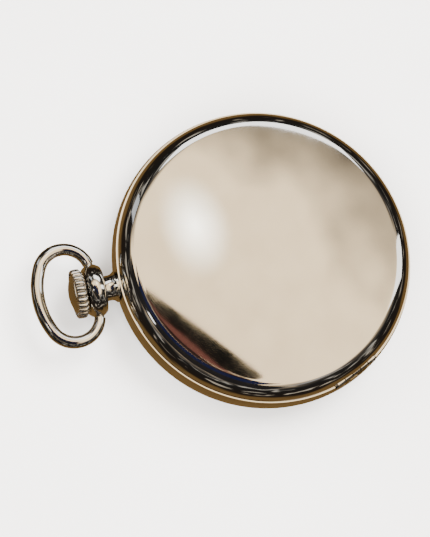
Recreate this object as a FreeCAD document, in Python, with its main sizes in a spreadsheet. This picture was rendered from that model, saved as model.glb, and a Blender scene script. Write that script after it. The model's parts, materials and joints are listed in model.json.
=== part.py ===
"""An open-face, keyless pocket watch of about 19 lignes, lying on its crystal.

Millimetres. The origin is the middle of the crystal's flat outer face, +Z comes out of the back cover and +Y runs
to the pendant, so the watch lies with its back up. Angles are in degrees, counted from +X towards +Y.
"""

import FreeCAD, Part
import math
import os
import re

import Sketcher

V = FreeCAD.Vector

# Driving dimensions: each becomes a cell of the sheet, and every size below is an expression of these names.
DIMENSIONS = {
    # case
    "case_radius": 25.0,
    "band_bulge": 0.4,
    "band_bottom": 4.3,
    "band_top": 8.9,
    "case_bore": 21.6,
    "ledge_bore": 20.9,
    "ledge_bottom": 6.45,
    "ledge_top": 6.95,
    "lip_inner": 22.8,
    "lip_outer": 23.6,
    "lip_top": 9.4,
    "joint_gap": 0.02,
    "bezel_edge": 21.0,
    "bezel_low": 0.75,
    "bezel_round": 4.2,
    "crystal_radius": 20.4,
    "crystal_flat": 18.5,
    "crystal_thick": 1.2,
    "crystal_seat": 2.0,
    "cover_apex": 13.05,
    "cover_wall": 0.5,
    "dome_round": 170.0,
    "shoulder_round": 3.4,
    "shoulder_at": 21.05,
    "dust_flat": 20.4,
    "dust_under": 10.5,
    "dust_wall": 0.4,
    "dust_rim": 22.45,
    # hinge of the two back covers
    "hinge_angle": 204.5,
    "hinge_radius": 24.0,
    "hinge_height": 9.0,
    "knuckle_round": 0.6,
    "knuckle_pitch": 1.6,
    "knuckle_gap": 0.1,
    "hinge_bore": 0.3,
    "pin_round": 0.25,
    "pin_head_round": 0.42,
    "pin_head": 0.2,
    "trough_round": 0.85,
    "notch_half": 4.4,
    "notch_top": 9.7,
    # pendant, bow and crown
    "stem_height": 6.6,
    "neck_round": 2.05,
    "neck_start": 23.5,
    "head_low": 27.1,
    "head_high": 30.0,
    "head_face": 3.2,
    "head_round": 4.35,
    "head_curve": 1.9,
    "bow_pivot": 28.5,
    "bow_wire": 1.05,
    "bow_half": 7.75,
    "bow_side_round": 4.2,
    "bow_reach": 9.2,
    "bow_end": 4.55,
    "bow_pin_round": 0.6,
    "bow_pin_tip": 3.3,
    "bow_hole_round": 0.66,
    "crown_low": 30.2,
    "crown_high": 32.3,
    "crown_dome": 0.45,
    "crown_round": 4.0,
    "crown_edge": 3.6,
    "crown_flutes": 24,
    "flute_round": 0.36,
    "flute_at": 4.14,
    "stem_round": 0.6,
    "stem_tip": 13.3,
    "stem_end": 32.0,
    "stem_groove": 0.35,
    "groove_low": 18.58,
    "groove_high": 19.02,
    # movement plates
    "plate_radius": 21.5,
    "plate_bottom": 3.9,
    "plate_top": 6.4,
    "bridge_bottom": 8.2,
    "bridge_top": 9.4,
    "bridge_round": 20.3,
    "wheel_sink": 8.65,
    "dial_face": 3.2,
    "dial_radius": 21.3,
    "dial_back": 3.88,
    "seconds_radius": 4.6,
    "seconds_face": 3.5,
    "motion_roof": 5.2,
    "train_floor": 5.9,
    # going train
    "barrel_teeth": 84,
    "barrel_module": 0.18,
    "barrel_angle": 125,
    "centre_leaves": 12,
    "centre_teeth": 80,
    "centre_module": 0.14,
    "third_leaves": 10,
    "third_teeth": 75,
    "third_module": 0.12,
    "fourth_leaves": 10,
    "fourth_teeth": 70,
    "fourth_module": 0.12,
    "fourth_distance": 9.0,
    "escape_leaves": 7,
    "escape_teeth": 15,
    "escape_round": 2.7,
    "escape_line": 19.06,
    "stone_set_back": 0.16,
    "roller_distance": 3.9,
    "balance_round": 5.9,
    "balance_low": 7.95,
    "balance_high": 8.65,
    "balance_rim": 0.55,
    "balance_screws": 12,
    "pivot_round": 0.1,
    "jewel_hole": 0.13,
    "jewel_round": 0.55,
    # winding and setting
    "keyless_module": 0.22,
    "crown_wheel_teeth": 30,
    "ratchet_teeth": 45,
    "winding_teeth": 22,
    "winding_low": 16.75,
    "winding_high": 18.0,
    "clutch_round": 1.8,
    "clutch_low": 14.6,
    "clutch_high": 16.6,
    "clutch_travel": 0.65,
    "clutch_bevel": 0.5,
    "clutch_slot": 0.72,
    "lever_reach": 4.5,
    "click_distance": 6.3,
    "yoke_reach": 4.2,
    # motion work under the dial
    "cannon_leaves": 12,
    "minute_teeth": 36,
    "minute_module": 0.125,
    "minute_leaves": 10,
    "hour_teeth": 40,
    "hour_module": 0.12,
    "setting_teeth": 34,
    # hands, by the time they show
    "hour_hand_turn": 305,
    "minute_hand_turn": 60,
    "seconds_hand_turn": 210,
}

WORD = re.compile(r"[a-z][a-z_]+")
doc = FreeCAD.newDocument("PocketWatch")
dims = doc.addObject("Spreadsheet::Sheet", "Dims")
for row, (alias, size) in enumerate(DIMENSIONS.items(), start=1):
    dims.set(f"A{row}", alias.replace("_", " "))
    dims.set(f"B{row}", str(size))
    dims.setAlias(f"B{row}", alias)
doc.recompute()

parts = []


# Expressions

def bound(expression):
    """The expression with each alias pointed at its cell."""
    return WORD.sub(lambda word: "Dims." + word[0] if word[0] in DIMENSIONS else word[0], str(expression))


def number(expression):
    """What the expression is worth with the sheet as it stands."""
    worth = dims.evalExpression(str(expression))
    return float(getattr(worth, "Value", worth))


def polar(origin, distance, angle):
    """The point at a distance and angle from another."""
    return (f"({origin[0]}) + ({distance})*cos({angle})", f"({origin[1]}) + ({distance})*sin({angle})")


def spacing(teeth, leaves, module):
    """The distance between the centres of a meshed pair."""
    return f"({teeth} + {leaves})*{module}/2"


def meshed(phase, teeth, mate_teeth, line):
    """The phase that sets a gear's teeth in the gaps of the one it meets along the line of centres."""
    return f"({line}) + 180 + 360/{mate_teeth}*(0.5 - (({phase}) - ({line}))*{teeth}/360)"


# Bodies and sketches

def part(label, at=("0", "0"), z="0", turn=None, axis=(0, 0, 1)):
    """A body with its own place: a point, a height and a turn about an axis."""
    made = doc.addObject("PartDesign::Body", label)
    made.Label = label
    if turn is not None:
        made.Placement = FreeCAD.Placement(V(), FreeCAD.Rotation(V(*axis), 1))
        made.setExpression("Placement.Rotation.Angle", bound(turn))
    for direction, place in zip("xyz", (at[0], at[1], z)):
        made.setExpression(f"Placement.Base.{direction}", bound(place))
    parts.append(made)
    return made


def sketch(made, height="0", plane="XY_Plane"):
    """An empty sketch on one of the body's own planes, raised along its normal."""
    drawn = made.newObject("Sketcher::SketchObject", made.Name + "Sketch")
    support = next(one for one in made.Origin.OriginFeatures if one.Role == plane)
    drawn.AttachmentSupport = [(support, "")]
    drawn.MapMode = "FlatFace"
    drawn.setExpression("AttachmentOffset.Base.z", bound(height))
    return drawn


def constrain(drawn, expression, *constraint):
    """One dimension of a sketch, held to an expression."""
    index = drawn.addConstraint(Sketcher.Constraint(*constraint, number(expression)))
    drawn.setExpression(f"Constraints[{index}]", bound(expression))


def pin_down(drawn, edge, vertex, point):
    """Hold a vertex of an edge at a point."""
    constrain(drawn, point[0], "DistanceX", edge, vertex)
    constrain(drawn, point[1], "DistanceY", edge, vertex)


def circle(drawn, radius, at=("0", "0")):
    """A circle of a radius about a point."""
    edge = drawn.addGeometry(Part.Circle(V(number(at[0]), number(at[1]), 0), V(0, 0, 1), number(radius)))
    constrain(drawn, radius, "Radius", edge)
    pin_down(drawn, edge, 3, at)


def ring(drawn, outer, inner, at=("0", "0")):
    """Two circles about one point."""
    circle(drawn, outer, at)
    circle(drawn, inner, at)


def edge_between(drawn, start, end, radius):
    """A line, or an arc whose centre is on the left for a positive radius; gives its start and end vertices."""
    here = V(number(start[0]), number(start[1]), 0)
    there = V(number(end[0]), number(end[1]), 0)
    if radius is None:
        return drawn.addGeometry(Part.LineSegment(here, there)), 1, 2
    bend = number(radius)
    chord = there - here
    left = V(-chord.y, chord.x, 0).normalize()
    rise = math.sqrt(max(bend**2 - (chord.Length / 2) ** 2, 0.0))
    centre = (here + there) / 2 + left * math.copysign(rise, bend)
    first, last = (here, there) if bend > 0 else (there, here)
    angles = [math.atan2((one - centre).y, (one - centre).x) for one in (first, last)]
    arc = Part.ArcOfCircle(Part.Circle(centre, V(0, 0, 1), abs(bend)), *angles)
    edge = drawn.addGeometry(arc)
    constrain(drawn, f"abs({radius})", "Radius", edge)
    return (edge, 1, 2) if bend > 0 else (edge, 2, 1)


def outline(drawn, points, closed=True):
    """Edges through the points; a point's third value is the radius of the edge that leaves it."""
    count = len(points) if closed else len(points) - 1
    edges = []
    for index in range(count):
        start, end = points[index], points[(index + 1) % len(points)]
        edges.append(edge_between(drawn, start, end, start[2] if len(start) > 2 else None))
    for index in range(count if closed else count - 1):
        (edge, _, finish), (following, begin, _) = edges[index], edges[(index + 1) % count]
        drawn.addConstraint(Sketcher.Constraint("Coincident", edge, finish, following, begin))
    for point, (edge, begin, _) in zip(points, edges):
        pin_down(drawn, edge, begin, point)
    if not closed:
        pin_down(drawn, edges[-1][0], edges[-1][2], points[-1])


# Features

def feature(made, kind, drawn, **settings):
    """A feature of a body made from a sketch, its lengths held to expressions."""
    added = made.newObject("PartDesign::" + kind, made.Name + kind)
    added.Profile = drawn
    for name, value in settings.items():
        if isinstance(value, str):
            added.setExpression(name, bound(value))
        else:
            setattr(added, name, value)
    made.Tip = added
    return added


def grow(made, low, high, draw):
    """Pad what the function draws from one height to another."""
    drawn = sketch(made, low)
    draw(drawn)
    return feature(made, "Pad", drawn, Length=f"({high}) - ({low})"), drawn


def sink(made, high, low, draw):
    """Cut what the function draws from one height down to another."""
    drawn = sketch(made, high)
    draw(drawn)
    return feature(made, "Pocket", drawn, Length=f"({high}) - ({low})"), drawn


def repeat(made, original, drawn, count):
    """Repeat a feature in a circle about its sketch's normal."""
    pattern = made.newObject("PartDesign::PolarPattern", made.Name + "Pattern")
    pattern.Originals = [original]
    pattern.Axis = (drawn, ["N_Axis"])
    pattern.Angle = 360
    pattern.setExpression("Occurrences", bound(count))
    made.Tip = pattern


def spin(made, points):
    """Turn a closed outline of (radius, height) points about the body's own Z axis."""
    drawn = sketch(made, plane="XZ_Plane")
    outline(drawn, points)
    feature(made, "Revolution", drawn, ReferenceAxis=(drawn, ["V_Axis"]), Angle=360)


def turned(label, points, **place):
    """A part that is one turned solid."""
    made = part(label, **place)
    spin(made, points)
    return made


def box_points(left, low, right, high):
    """The corners of a rectangle."""
    return [(left, low), (right, low), (right, high), (left, high)]


def steps(*rows):
    """The outline of a solid turned shaft from its (radius, low, high) lengths, bottom to top."""
    points = [("0", rows[0][1])]
    for radius, low, high in rows:
        points += [(radius, low), (radius, high)]
    return points + [("0", rows[-1][2])]


def gear(label, teeth, module, low, high, phase="0", bore="0", at=("0", "0"), spokes=None, lean="0.6"):
    """A spur gear with plain teeth; spokes gives the hub radius, the rim's inner radius and the count of arms."""
    made = part(label, at=at, turn=phase)
    pitch = f"({teeth}*{module}/2)"
    root = f"({pitch} - 1.25*{module})"
    tip = f"({pitch} + 0.95*{module})"

    def blank(drawn):
        circle(drawn, root)
        if bore != "0":
            circle(drawn, bore)

    def tooth(drawn):
        outline(drawn, [
            (f"{root} - 0.3*{module}", f"-0.8*{module}"),
            (pitch, f"-{lean}*{module}"),
            (tip, f"-0.25*{module}"),
            (tip, f"0.25*{module}"),
            (pitch, f"{lean}*{module}"),
            (f"{root} - 0.3*{module}", f"0.8*{module}"),
        ])

    grow(made, low, high, blank)
    repeat(made, *grow(made, low, high, tooth), teeth)
    if spokes:
        open_spokes(made, low, high, *spokes)
    return made


def open_spokes(made, low, high, hub, rim, arms, half="0.22"):
    """Cut the windows between a wheel's arms."""
    inner = f"(180deg/{arms} - asin({half}/({hub})))"
    outer = f"(180deg/{arms} - asin({half}/({rim})))"

    def window(drawn):
        outline(drawn, [
            (f"({hub})*cos{inner}", f"-({hub})*sin{inner}"),
            (f"({rim})*cos{outer}", f"-({rim})*sin{outer}", rim),
            (f"({rim})*cos{outer}", f"({rim})*sin{outer}"),
            (f"({hub})*cos{inner}", f"({hub})*sin{inner}", f"-({hub})"),
        ])

    repeat(made, *sink(made, high, low, window), str(arms))


def cylinder(name, radius, length, at, direction, turn=0):
    """A plain rod from a point along a direction, for cutting or joining."""
    rod = doc.addObject("Part::Cylinder", name)
    rod.setExpression("Radius", bound(radius))
    rod.setExpression("Height", bound(length))
    rod.Placement = FreeCAD.Placement(V(), FreeCAD.Rotation(V(0, 0, 1), V(*direction)))
    for axis, place in zip("xyz", at):
        rod.setExpression(f"Placement.Base.{axis}", bound(place))
    return rod


def block(name, low, high):
    """A plain box between two corners, for cutting or joining."""
    made = doc.addObject("Part::Box", name)
    for size, axis, first, last in zip(("Length", "Width", "Height"), "xyz", low, high):
        made.setExpression(size, bound(f"({last}) - ({first})"))
        made.setExpression(f"Placement.Base.{axis}", bound(first))
    return made


def combine(name, kind, base, *tools):
    """A boolean of the base with each tool in turn."""
    for tool in tools:
        made = doc.addObject("Part::" + kind, name)
        if kind == "Cut":
            made.Base = base
            made.Tool = tool
        else:
            made.Shapes = [base, tool]
        base = made
    return base


def named(made, label, turn=None):
    """Make a boolean's result a part, turned about Z if need be."""
    made.Label = label
    if turn:
        made.Placement = FreeCAD.Placement(V(), FreeCAD.Rotation(V(0, 0, 1), 1))
        made.setExpression("Placement.Rotation.Angle", bound(turn))
    parts.append(made)
    return made


def loose(label, points):
    """A turned solid that is the base of a boolean."""
    made = turned(label, points)
    parts.remove(made)
    return made


# Case. Each hinged shell is made with its hinge on +X and is then turned to the hinge's place.

SHELL_FOOT = "(band_top + joint_gap)"
SHOULDER_Z = "(cover_apex - dome_round + sqrt((dome_round - shoulder_round)^2 - shoulder_at^2))"


def shell_point(round_radius, height):
    """The radius of the back cover's shoulder at a height."""
    return f"shoulder_at + sqrt(({round_radius})^2 - ({height} - {SHOULDER_Z})^2)"


def shell_joint(round_radius):
    """Where the shoulder's arc meets the dome's."""
    run = f"(({round_radius})/(dome_round - shoulder_round))"
    return (f"shoulder_at*(1 + {run})", f"{SHOULDER_Z} + {run}*sqrt((dome_round - shoulder_round)^2 - shoulder_at^2)")


def knuckles(name, spans):
    """The hinge tubes of one shell, each between two places along the hinge."""
    tubes = []
    for low, high in spans:
        start = f"{low}*knuckle_pitch + knuckle_gap/2"
        length = f"({high} - {low})*knuckle_pitch - knuckle_gap"
        tubes.append(cylinder(name, "knuckle_round", length, ("hinge_radius", start, "hinge_height"), (0, 1, 0)))
    return tubes


def hinge_rod(name, radius, half):
    """A rod along the hinge's axis."""
    return cylinder(name, radius, f"2*({half})", ("hinge_radius", f"-({half})", "hinge_height"), (0, 1, 0))


def case_middle():
    edge = "case_radius - band_bulge"
    bulge = "((band_top - band_bottom)^2/8/band_bulge + band_bulge/2)"
    ring_body = loose("CaseRing", [
        ("case_bore", "band_bottom"), (edge, "band_bottom", bulge), (edge, "band_top"), ("lip_outer", "band_top"),
        ("lip_outer", "lip_top"), ("lip_inner", "lip_top"), ("lip_inner", "band_top"), ("case_bore", "band_top"),
        ("case_bore", "ledge_top"), ("ledge_bore", "ledge_top"), ("ledge_bore", "ledge_bottom"),
        ("case_bore", "ledge_bottom"),
    ])
    lip_gap = block("LipGap", ("lip_inner - 0.1", "-notch_half", "band_top"),
                    ("case_radius", "notch_half", "lip_top + 0.1"))
    made = combine("CaseCut", "Cut", ring_body, hinge_rod("CaseTrough", "trough_round", "notch_half"), lip_gap)
    spans = [("-2.5", "-1.5"), ("1.5", "2.5")]
    feet = [
        block("CaseFoot", ("hinge_radius - 0.5", f"{low}*knuckle_pitch + knuckle_gap/2", "hinge_height - 1.3"),
              ("hinge_radius + 0.3", f"{high}*knuckle_pitch - knuckle_gap/2", "hinge_height - 0.3"))
        for low, high in spans
    ]
    made = combine("CaseHinged", "MultiFuse", made, *knuckles("CaseKnuckle", spans), *feet)
    made = combine("CaseBored", "Cut", made, hinge_rod("CaseBore", "hinge_bore", "notch_half"))
    made.Placement = FreeCAD.Placement(V(), FreeCAD.Rotation(V(0, 0, 1), 1))
    made.setExpression("Placement.Rotation.Angle", bound("hinge_angle"))
    stem_way = cylinder("StemWay", "0.8", "6", ("0", "ledge_bore - 1", "stem_height"), (0, 1, 0))
    seat = cylinder("PendantSeat", "neck_round", "3", ("0", "neck_start", "stem_height"), (0, 1, 0))
    named(combine("CaseMiddle", "Cut", made, stem_way, seat), "case_middle")


def back_cover():
    inner_round = "(shoulder_round - cover_wall)"
    outer, inner = shell_joint("shoulder_round"), shell_joint(inner_round)
    shell = loose("CoverShell", [
        (shell_point(inner_round, SHELL_FOOT), SHELL_FOOT),
        (shell_point("shoulder_round", SHELL_FOOT), SHELL_FOOT, "shoulder_round"),
        (*outer, "dome_round"), ("0", "cover_apex"), ("0", "cover_apex - cover_wall", "cover_wall - dome_round"),
        (*inner, f"-{inner_round}"),
    ])
    notch = block("CoverNotch", ("hinge_radius - 1.6", "-notch_half", "band_top - 0.1"),
                  ("case_radius", "notch_half", "notch_top"))
    made = combine("CoverCut", "Cut", shell, notch)
    spans = [("-1.5", "-0.5"), ("0.5", "1.5")]
    webs = [
        block("CoverWeb", ("hinge_radius - 0.35", f"{low}*knuckle_pitch + knuckle_gap/2", "hinge_height + 0.3"),
              ("hinge_radius", f"{high}*knuckle_pitch - knuckle_gap/2", "notch_top + 0.12"))
        for low, high in spans
    ]
    made = combine("CoverHinged", "MultiFuse", made, *knuckles("CoverKnuckle", spans), *webs)
    made = combine("BackCover", "Cut", made, hinge_rod("CoverBore", "hinge_bore", "notch_half"))
    named(made, "back_cover", "hinge_angle")


def dust_cover():
    foot = "(band_top + 0.05)"
    top = "(dust_under + dust_wall)"
    plate = loose("DustPlate", [
        ("0", "dust_under"), ("dust_flat", "dust_under"), ("dust_rim - 0.5", "dust_under - 0.8"),
        ("dust_rim - 0.5", foot), ("dust_rim", foot), ("dust_rim", "dust_under - 0.55"),
        ("dust_flat + 0.35", top), ("0", top),
    ])
    tongue = block("DustTongue", ("dust_rim - 0.3", "knuckle_gap/2 - knuckle_pitch/2", "band_top + 0.05"),
                   ("hinge_radius", "knuckle_pitch/2 - knuckle_gap/2", "lip_top - 0.05"))
    made = combine("DustHinged", "MultiFuse", plate, tongue, *knuckles("DustKnuckle", [("-0.5", "0.5")]))
    made = combine("DustCover", "Cut", made, hinge_rod("DustBore", "hinge_bore", "notch_half"))
    named(made, "dust_cover", "hinge_angle")


def hinge_pin():
    """The pin through the knuckles, with a riveted head past the last one."""
    head = cylinder("PinHead", "pin_head_round", "pin_head", ("hinge_radius", "2.5*knuckle_pitch + 0.02",
                    "hinge_height"), (0, 1, 0))
    rod = hinge_rod("PinRod", "pin_round", "2.5*knuckle_pitch + pin_head/2")
    named(combine("HingePin", "MultiFuse", rod, head), "hinge_pin", "hinge_angle")


def bezel_and_crystal():
    top = "(band_bottom - joint_gap)"
    turned("bezel", [
        ("crystal_radius + 0.03", "bezel_low + 0.1"), ("bezel_edge", "bezel_low", "bezel_round"),
        ("case_radius - band_bulge - 0.1", top), ("case_bore", top), ("case_bore", "dial_face - 0.1"),
        ("bezel_edge", "dial_face - 0.1"), ("bezel_edge", "crystal_seat + 0.03"),
        ("crystal_radius + 0.03", "crystal_seat + 0.03"),
    ])
    turned("crystal", [
        ("0", "0"), ("crystal_flat", "0"), ("crystal_radius", "bezel_low"), ("crystal_radius", "crystal_seat"),
        ("crystal_radius - 0.5", "crystal_seat"), ("crystal_flat + 0.4", "crystal_thick"), ("0", "crystal_thick"),
    ])


# Pendant, bow and crown

ALONG_STEM = {"z": "stem_height", "turn": "-90", "axis": (1, 0, 0)}


def pendant():
    turned_body = turned("PendantTurned", [
        ("0.75", "neck_start"), ("neck_round", "neck_start"), ("neck_round", "case_radius + joint_gap"),
        ("neck_round + 0.5", "case_radius + joint_gap"), ("neck_round", "case_radius + 0.7"),
        ("neck_round", "head_low"), ("head_face", "head_low", "head_curve"), ("head_round", "bow_pivot"),
        ("head_round", "bow_pivot + 0.1", "head_curve"), ("head_face", "head_high"), ("0.75", "head_high"),
    ], **ALONG_STEM)
    parts.remove(turned_body)
    made = turned_body
    for side, place in ((1, "bow_pin_tip - 0.2"), (-1, "0.2 - bow_pin_tip")):
        hole = cylinder("BowHole", "bow_hole_round", "2", (place, "bow_pivot", "stem_height"), (side, 0, 0))
        made = combine("PendantBored", "Cut", made, hole)
    named(made, "pendant")


def bow():
    made = part("bow", at=("0", "bow_pivot"), z="stem_height")
    side_x = "(bow_half - bow_side_round)"
    rise = "(bow_reach - bow_side_round)"
    crown_arc = f"(({side_x}^2 + {rise}^2 - bow_side_round^2)/2/({rise} - bow_side_round))"
    share = f"({crown_arc}/({crown_arc} - bow_side_round))"
    turn_point = (f"{share}*{side_x}", f"bow_reach - {crown_arc} + {share}*({rise} - bow_reach + {crown_arc})")
    end = ("bow_end", f"bow_side_round - sqrt(bow_side_round^2 - (bow_end - {side_x})^2)")
    path = sketch(made)
    outline(path, [
        (*end, "bow_side_round"), ("bow_half", "bow_side_round", "bow_side_round"), (*turn_point, crown_arc),
        ("0", "bow_reach"),
    ], closed=False)
    section = sketch(made, plane="YZ_Plane")
    circle(section, "bow_wire", ("bow_reach", "0"))
    pipe = made.newObject("PartDesign::AdditivePipe", "BowPipe")
    pipe.Profile = section
    pipe.Spine = path
    pin = sketch(made, "bow_pin_tip", "YZ_Plane")
    circle(pin, "bow_pin_round")
    pin_pad = feature(made, "Pad", pin, Length="bow_end + 0.3 - bow_pin_tip")
    mirrored = made.newObject("PartDesign::Mirrored", "BowMirrored")
    mirrored.Originals = [pipe, pin_pad]
    mirrored.MirrorPlane = (path, ["V_Axis"])
    made.Tip = mirrored


def crown():
    made = turned("crown", [
        ("stem_round", "crown_low"), ("crown_edge", "crown_low"), ("crown_round", "crown_low + 0.6"),
        ("crown_round", "crown_high - 0.6"), ("crown_edge", "crown_high"), ("0", "crown_high + crown_dome"),
        ("0", "stem_end"), ("stem_round", "stem_end"),
    ], **ALONG_STEM)
    flute = sink(made, "crown_high + 0.1", "crown_low - 0.1",
                 lambda drawn: circle(drawn, "flute_round", ("flute_at", "0")))
    repeat(made, *flute, "crown_flutes")


def winding_stem():
    turned("winding_stem", steps(
        ("0.45", "stem_tip", "clutch_low - 0.2"), ("stem_round", "clutch_low - 0.2", "groove_low"),
        ("stem_groove", "groove_low", "groove_high"), ("stem_round", "groove_high", "stem_end"),
    ), **ALONG_STEM)


# Where the arbors stand, seen from the back

CENTRE = ("0", "0")
BARREL = polar(CENTRE, spacing("barrel_teeth", "centre_leaves", "barrel_module"), "barrel_angle")
CENTRE_TO_THIRD = spacing("centre_teeth", "third_leaves", "centre_module")
THIRD_TO_FOURTH = spacing("third_teeth", "fourth_leaves", "third_module")
THIRD_LINE = (f"(270 - acos((({CENTRE_TO_THIRD})^2 + fourth_distance^2 - ({THIRD_TO_FOURTH})^2)"
              f"/2/fourth_distance/({CENTRE_TO_THIRD}))/1deg)")
THIRD = polar(CENTRE, CENTRE_TO_THIRD, THIRD_LINE)
FOURTH = ("0", "-fourth_distance")
ESCAPE = polar(FOURTH, spacing("fourth_teeth", "escape_leaves", "fourth_module"), "escape_line")
PALLET = polar(ESCAPE, "escape_round/cos(30)", "escape_line")
BALANCE = polar(PALLET, "roller_distance", "escape_line")
CROWN_WHEEL = ("0", "(winding_low + 0.22 - crown_wheel_teeth*keyless_module/2)")
MINUTE = ("0", spacing("cannon_leaves", "minute_teeth", "minute_module"))
INTERMEDIATE = ("0", f"({MINUTE[1]} + {spacing('minute_teeth', 'setting_teeth', 'minute_module')})")
SETTING = ("0", f"({INTERMEDIATE[1]} + setting_teeth*minute_module)")
LEVER = ("stem_groove + 0.1 + lever_reach", "(groove_low + groove_high)/2")
CLUTCH_MIDDLE = "(clutch_low + clutch_high)/2"
YOKE = ("1.3 + yoke_reach", CLUTCH_MIDDLE)
CLICK_LINE = "143.4"
CLICK = polar(BARREL, "click_distance", CLICK_LINE)

BRIDGE_FEET = [("-18.0", "1.5"), ("-9.0", "16.4"), ("13.4", "13.0")]
TRAIN_FEET = [("-15.2", "-10.0"), ("-5.2", "-17.6")]
COCK_FOOT = ("14.0", "7.0")
PALLET_FEET = [polar(PALLET, reach, "escape_line + 90") for reach in ("3.2", "-3.2")]
CASE_SCREWS = [polar(CENTRE, "19.9", angle) for angle in ("60", "235", "318")]
DIAL_FEET = [polar(CENTRE, "19.0", angle) for angle in ("30", "165", "285")]
JEWEL_ARBORS = [THIRD, FOURTH, ESCAPE, PALLET, BALANCE]


def circles(radius, places, inner=None):
    """A drawing of equal circles, or rings, at several places."""
    def draw(drawn):
        for at in places:
            circle(drawn, radius, at)
            if inner:
                circle(drawn, inner, at)
    return draw


def shape(points):
    """A drawing of one closed outline."""
    return lambda drawn: outline(drawn, points)


def main_plate():
    made = part("main_plate")
    grow(made, "plate_bottom", "plate_top", circles("plate_radius", [CENTRE]))
    sink(made, "plate_top", "train_floor", circles("centre_teeth*centre_module/2 + 0.4", [CENTRE]))
    sink(made, "plate_top", "train_floor", circles("1.1", [THIRD]))
    sink(made, "motion_roof", "plate_bottom", circles("hour_teeth*hour_module/2 + 0.3", [CENTRE]))
    channel = box_points("-2.55", "0", "2.55", "clutch_low - clutch_travel")
    sink(made, "motion_roof", "plate_bottom", shape(channel))
    window = box_points("-2.75", "clutch_low - 0.7", "2.75", "winding_high + 0.15")
    sink(made, "plate_top", "plate_bottom", shape(window))
    stem_slot = box_points("-0.7", "winding_high + 0.1", "0.7", "plate_radius + 0.1")
    sink(made, "plate_top", "stem_height - 0.7", shape(stem_slot))
    tip_slot = box_points("-0.55", "stem_tip - 0.2", "0.55", "clutch_low - 0.6")
    sink(made, "plate_top", "stem_height - 0.55", shape(tip_slot))
    sink(made, "plate_top", "plate_bottom", circles("1.0", [CENTRE]))
    sink(made, "plate_top", "plate_top - 0.9", circles("0.75", [BARREL]))
    sink(made, "plate_top", "plate_top - 0.6", circles("jewel_round", JEWEL_ARBORS[1:]))
    sink(made, "train_floor", "train_floor - 0.6", circles("jewel_round", [THIRD]))
    sink(made, "plate_top", "plate_bottom", circles("0.35", [FOURTH]))
    sink(made, "plate_top", "plate_top - 1.2", circles("0.35", [*CASE_SCREWS, *PALLET_FEET]))
    sink(made, "plate_top", "plate_top - 1.2", circles("0.45", [*BRIDGE_FEET, *TRAIN_FEET, COCK_FOOT]))
    sink(made, "plate_top", "plate_top - 0.8", circles("0.4", [LEVER, YOKE]))
    sink(made, "plate_bottom + 1.2", "plate_bottom", circles("0.35", DIAL_FEET))


def rim_point(angle):
    """A point on the bridges' rounded rim."""
    return polar(CENTRE, "bridge_round", angle)


def bridge_plate(label, points, feet, foot_round):
    """A bridge: its plate, and the feet that stand on the main plate, drilled for their screws."""
    made = part(label)
    grow(made, "bridge_bottom", "bridge_top", shape(points))
    grow(made, "plate_top", "bridge_bottom + 0.1", circles(foot_round, feet))
    sink(made, "bridge_top", "plate_top", circles("0.5", feet))
    sink(made, "bridge_top", "bridge_top - 0.5", circles("1.0", feet))
    return made


def barrel_bridge():
    made = bridge_plate("barrel_bridge", [
        (*rim_point("36"), "bridge_round"), (*rim_point("110"), "bridge_round"), rim_point("186"),
        ("-2.7", "-2.0"), ("1.9", "-1.6", "2.6"), ("3.2", "2.2"), ("6.5", "9.5"),
    ], BRIDGE_FEET, "1.5")
    sink(made, "bridge_top", "wheel_sink", circles("ratchet_teeth*keyless_module/2 + 0.35", [BARREL]))
    sink(made, "bridge_top", "wheel_sink", circles("crown_wheel_teeth*keyless_module/2 + 0.35", [CROWN_WHEEL]))
    sink(made, "bridge_top", "bridge_top - 0.5", circles("2.7", [CLICK]))
    sink(made, "bridge_top - 0.5", "bridge_top - 0.9", circles("0.4", [CLICK]))
    window = box_points("-2.75", "winding_low - 0.1", "2.75", "winding_high + 0.15")
    sink(made, "bridge_top", "bridge_bottom", shape(window))
    clutch_way = box_points("-1.3", "clutch_low - clutch_travel - 0.2", "1.3", "winding_low")
    sink(made, "bridge_bottom + 0.3", "bridge_bottom", shape(clutch_way))
    sink(made, "wheel_sink", "bridge_bottom", circles("0.9", [BARREL]))
    sink(made, "bridge_top", "bridge_top - 0.45", circles("jewel_round", [CENTRE]))
    sink(made, "bridge_top", "bridge_bottom", circles("0.28", [CENTRE]))
    sink(made, "wheel_sink", "bridge_bottom + 0.33", circles("0.45", [CROWN_WHEEL]))


def train_bridge():
    made = bridge_plate("train_bridge", [
        (*rim_point("188"), "bridge_round"), rim_point("262"), ("2.6", "-14.6"), ("4.4", "-9.4"),
        ("5.0", "-7.4", "0.9"), ("3.9", "-6.4"), ("1.0", "-2.9"), ("-2.6", "-2.8"),
    ], TRAIN_FEET, "1.5")
    under = JEWEL_ARBORS[:3]
    sink(made, "bridge_top", "bridge_top - 0.45", circles("jewel_round", under))
    sink(made, "bridge_top", "bridge_bottom", circles("0.2", under))


def pallet_cock():
    made = part("pallet_cock", at=PALLET, turn="escape_line")
    feet = [("0", "3.2"), ("0", "-3.2")]
    ends = ("-0.95", "-3.9", "0.95", "3.9")
    grow(made, "plate_top + 0.95", "plate_top + 1.35", shape(box_points(*ends)))
    grow(made, "plate_top", "plate_top + 1.0", circles("0.85", feet))
    sink(made, "plate_top + 1.35", "plate_top", circles("0.35", feet))
    sink(made, "plate_top + 1.35", "plate_top + 0.9", circles("jewel_round", [CENTRE]))


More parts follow.
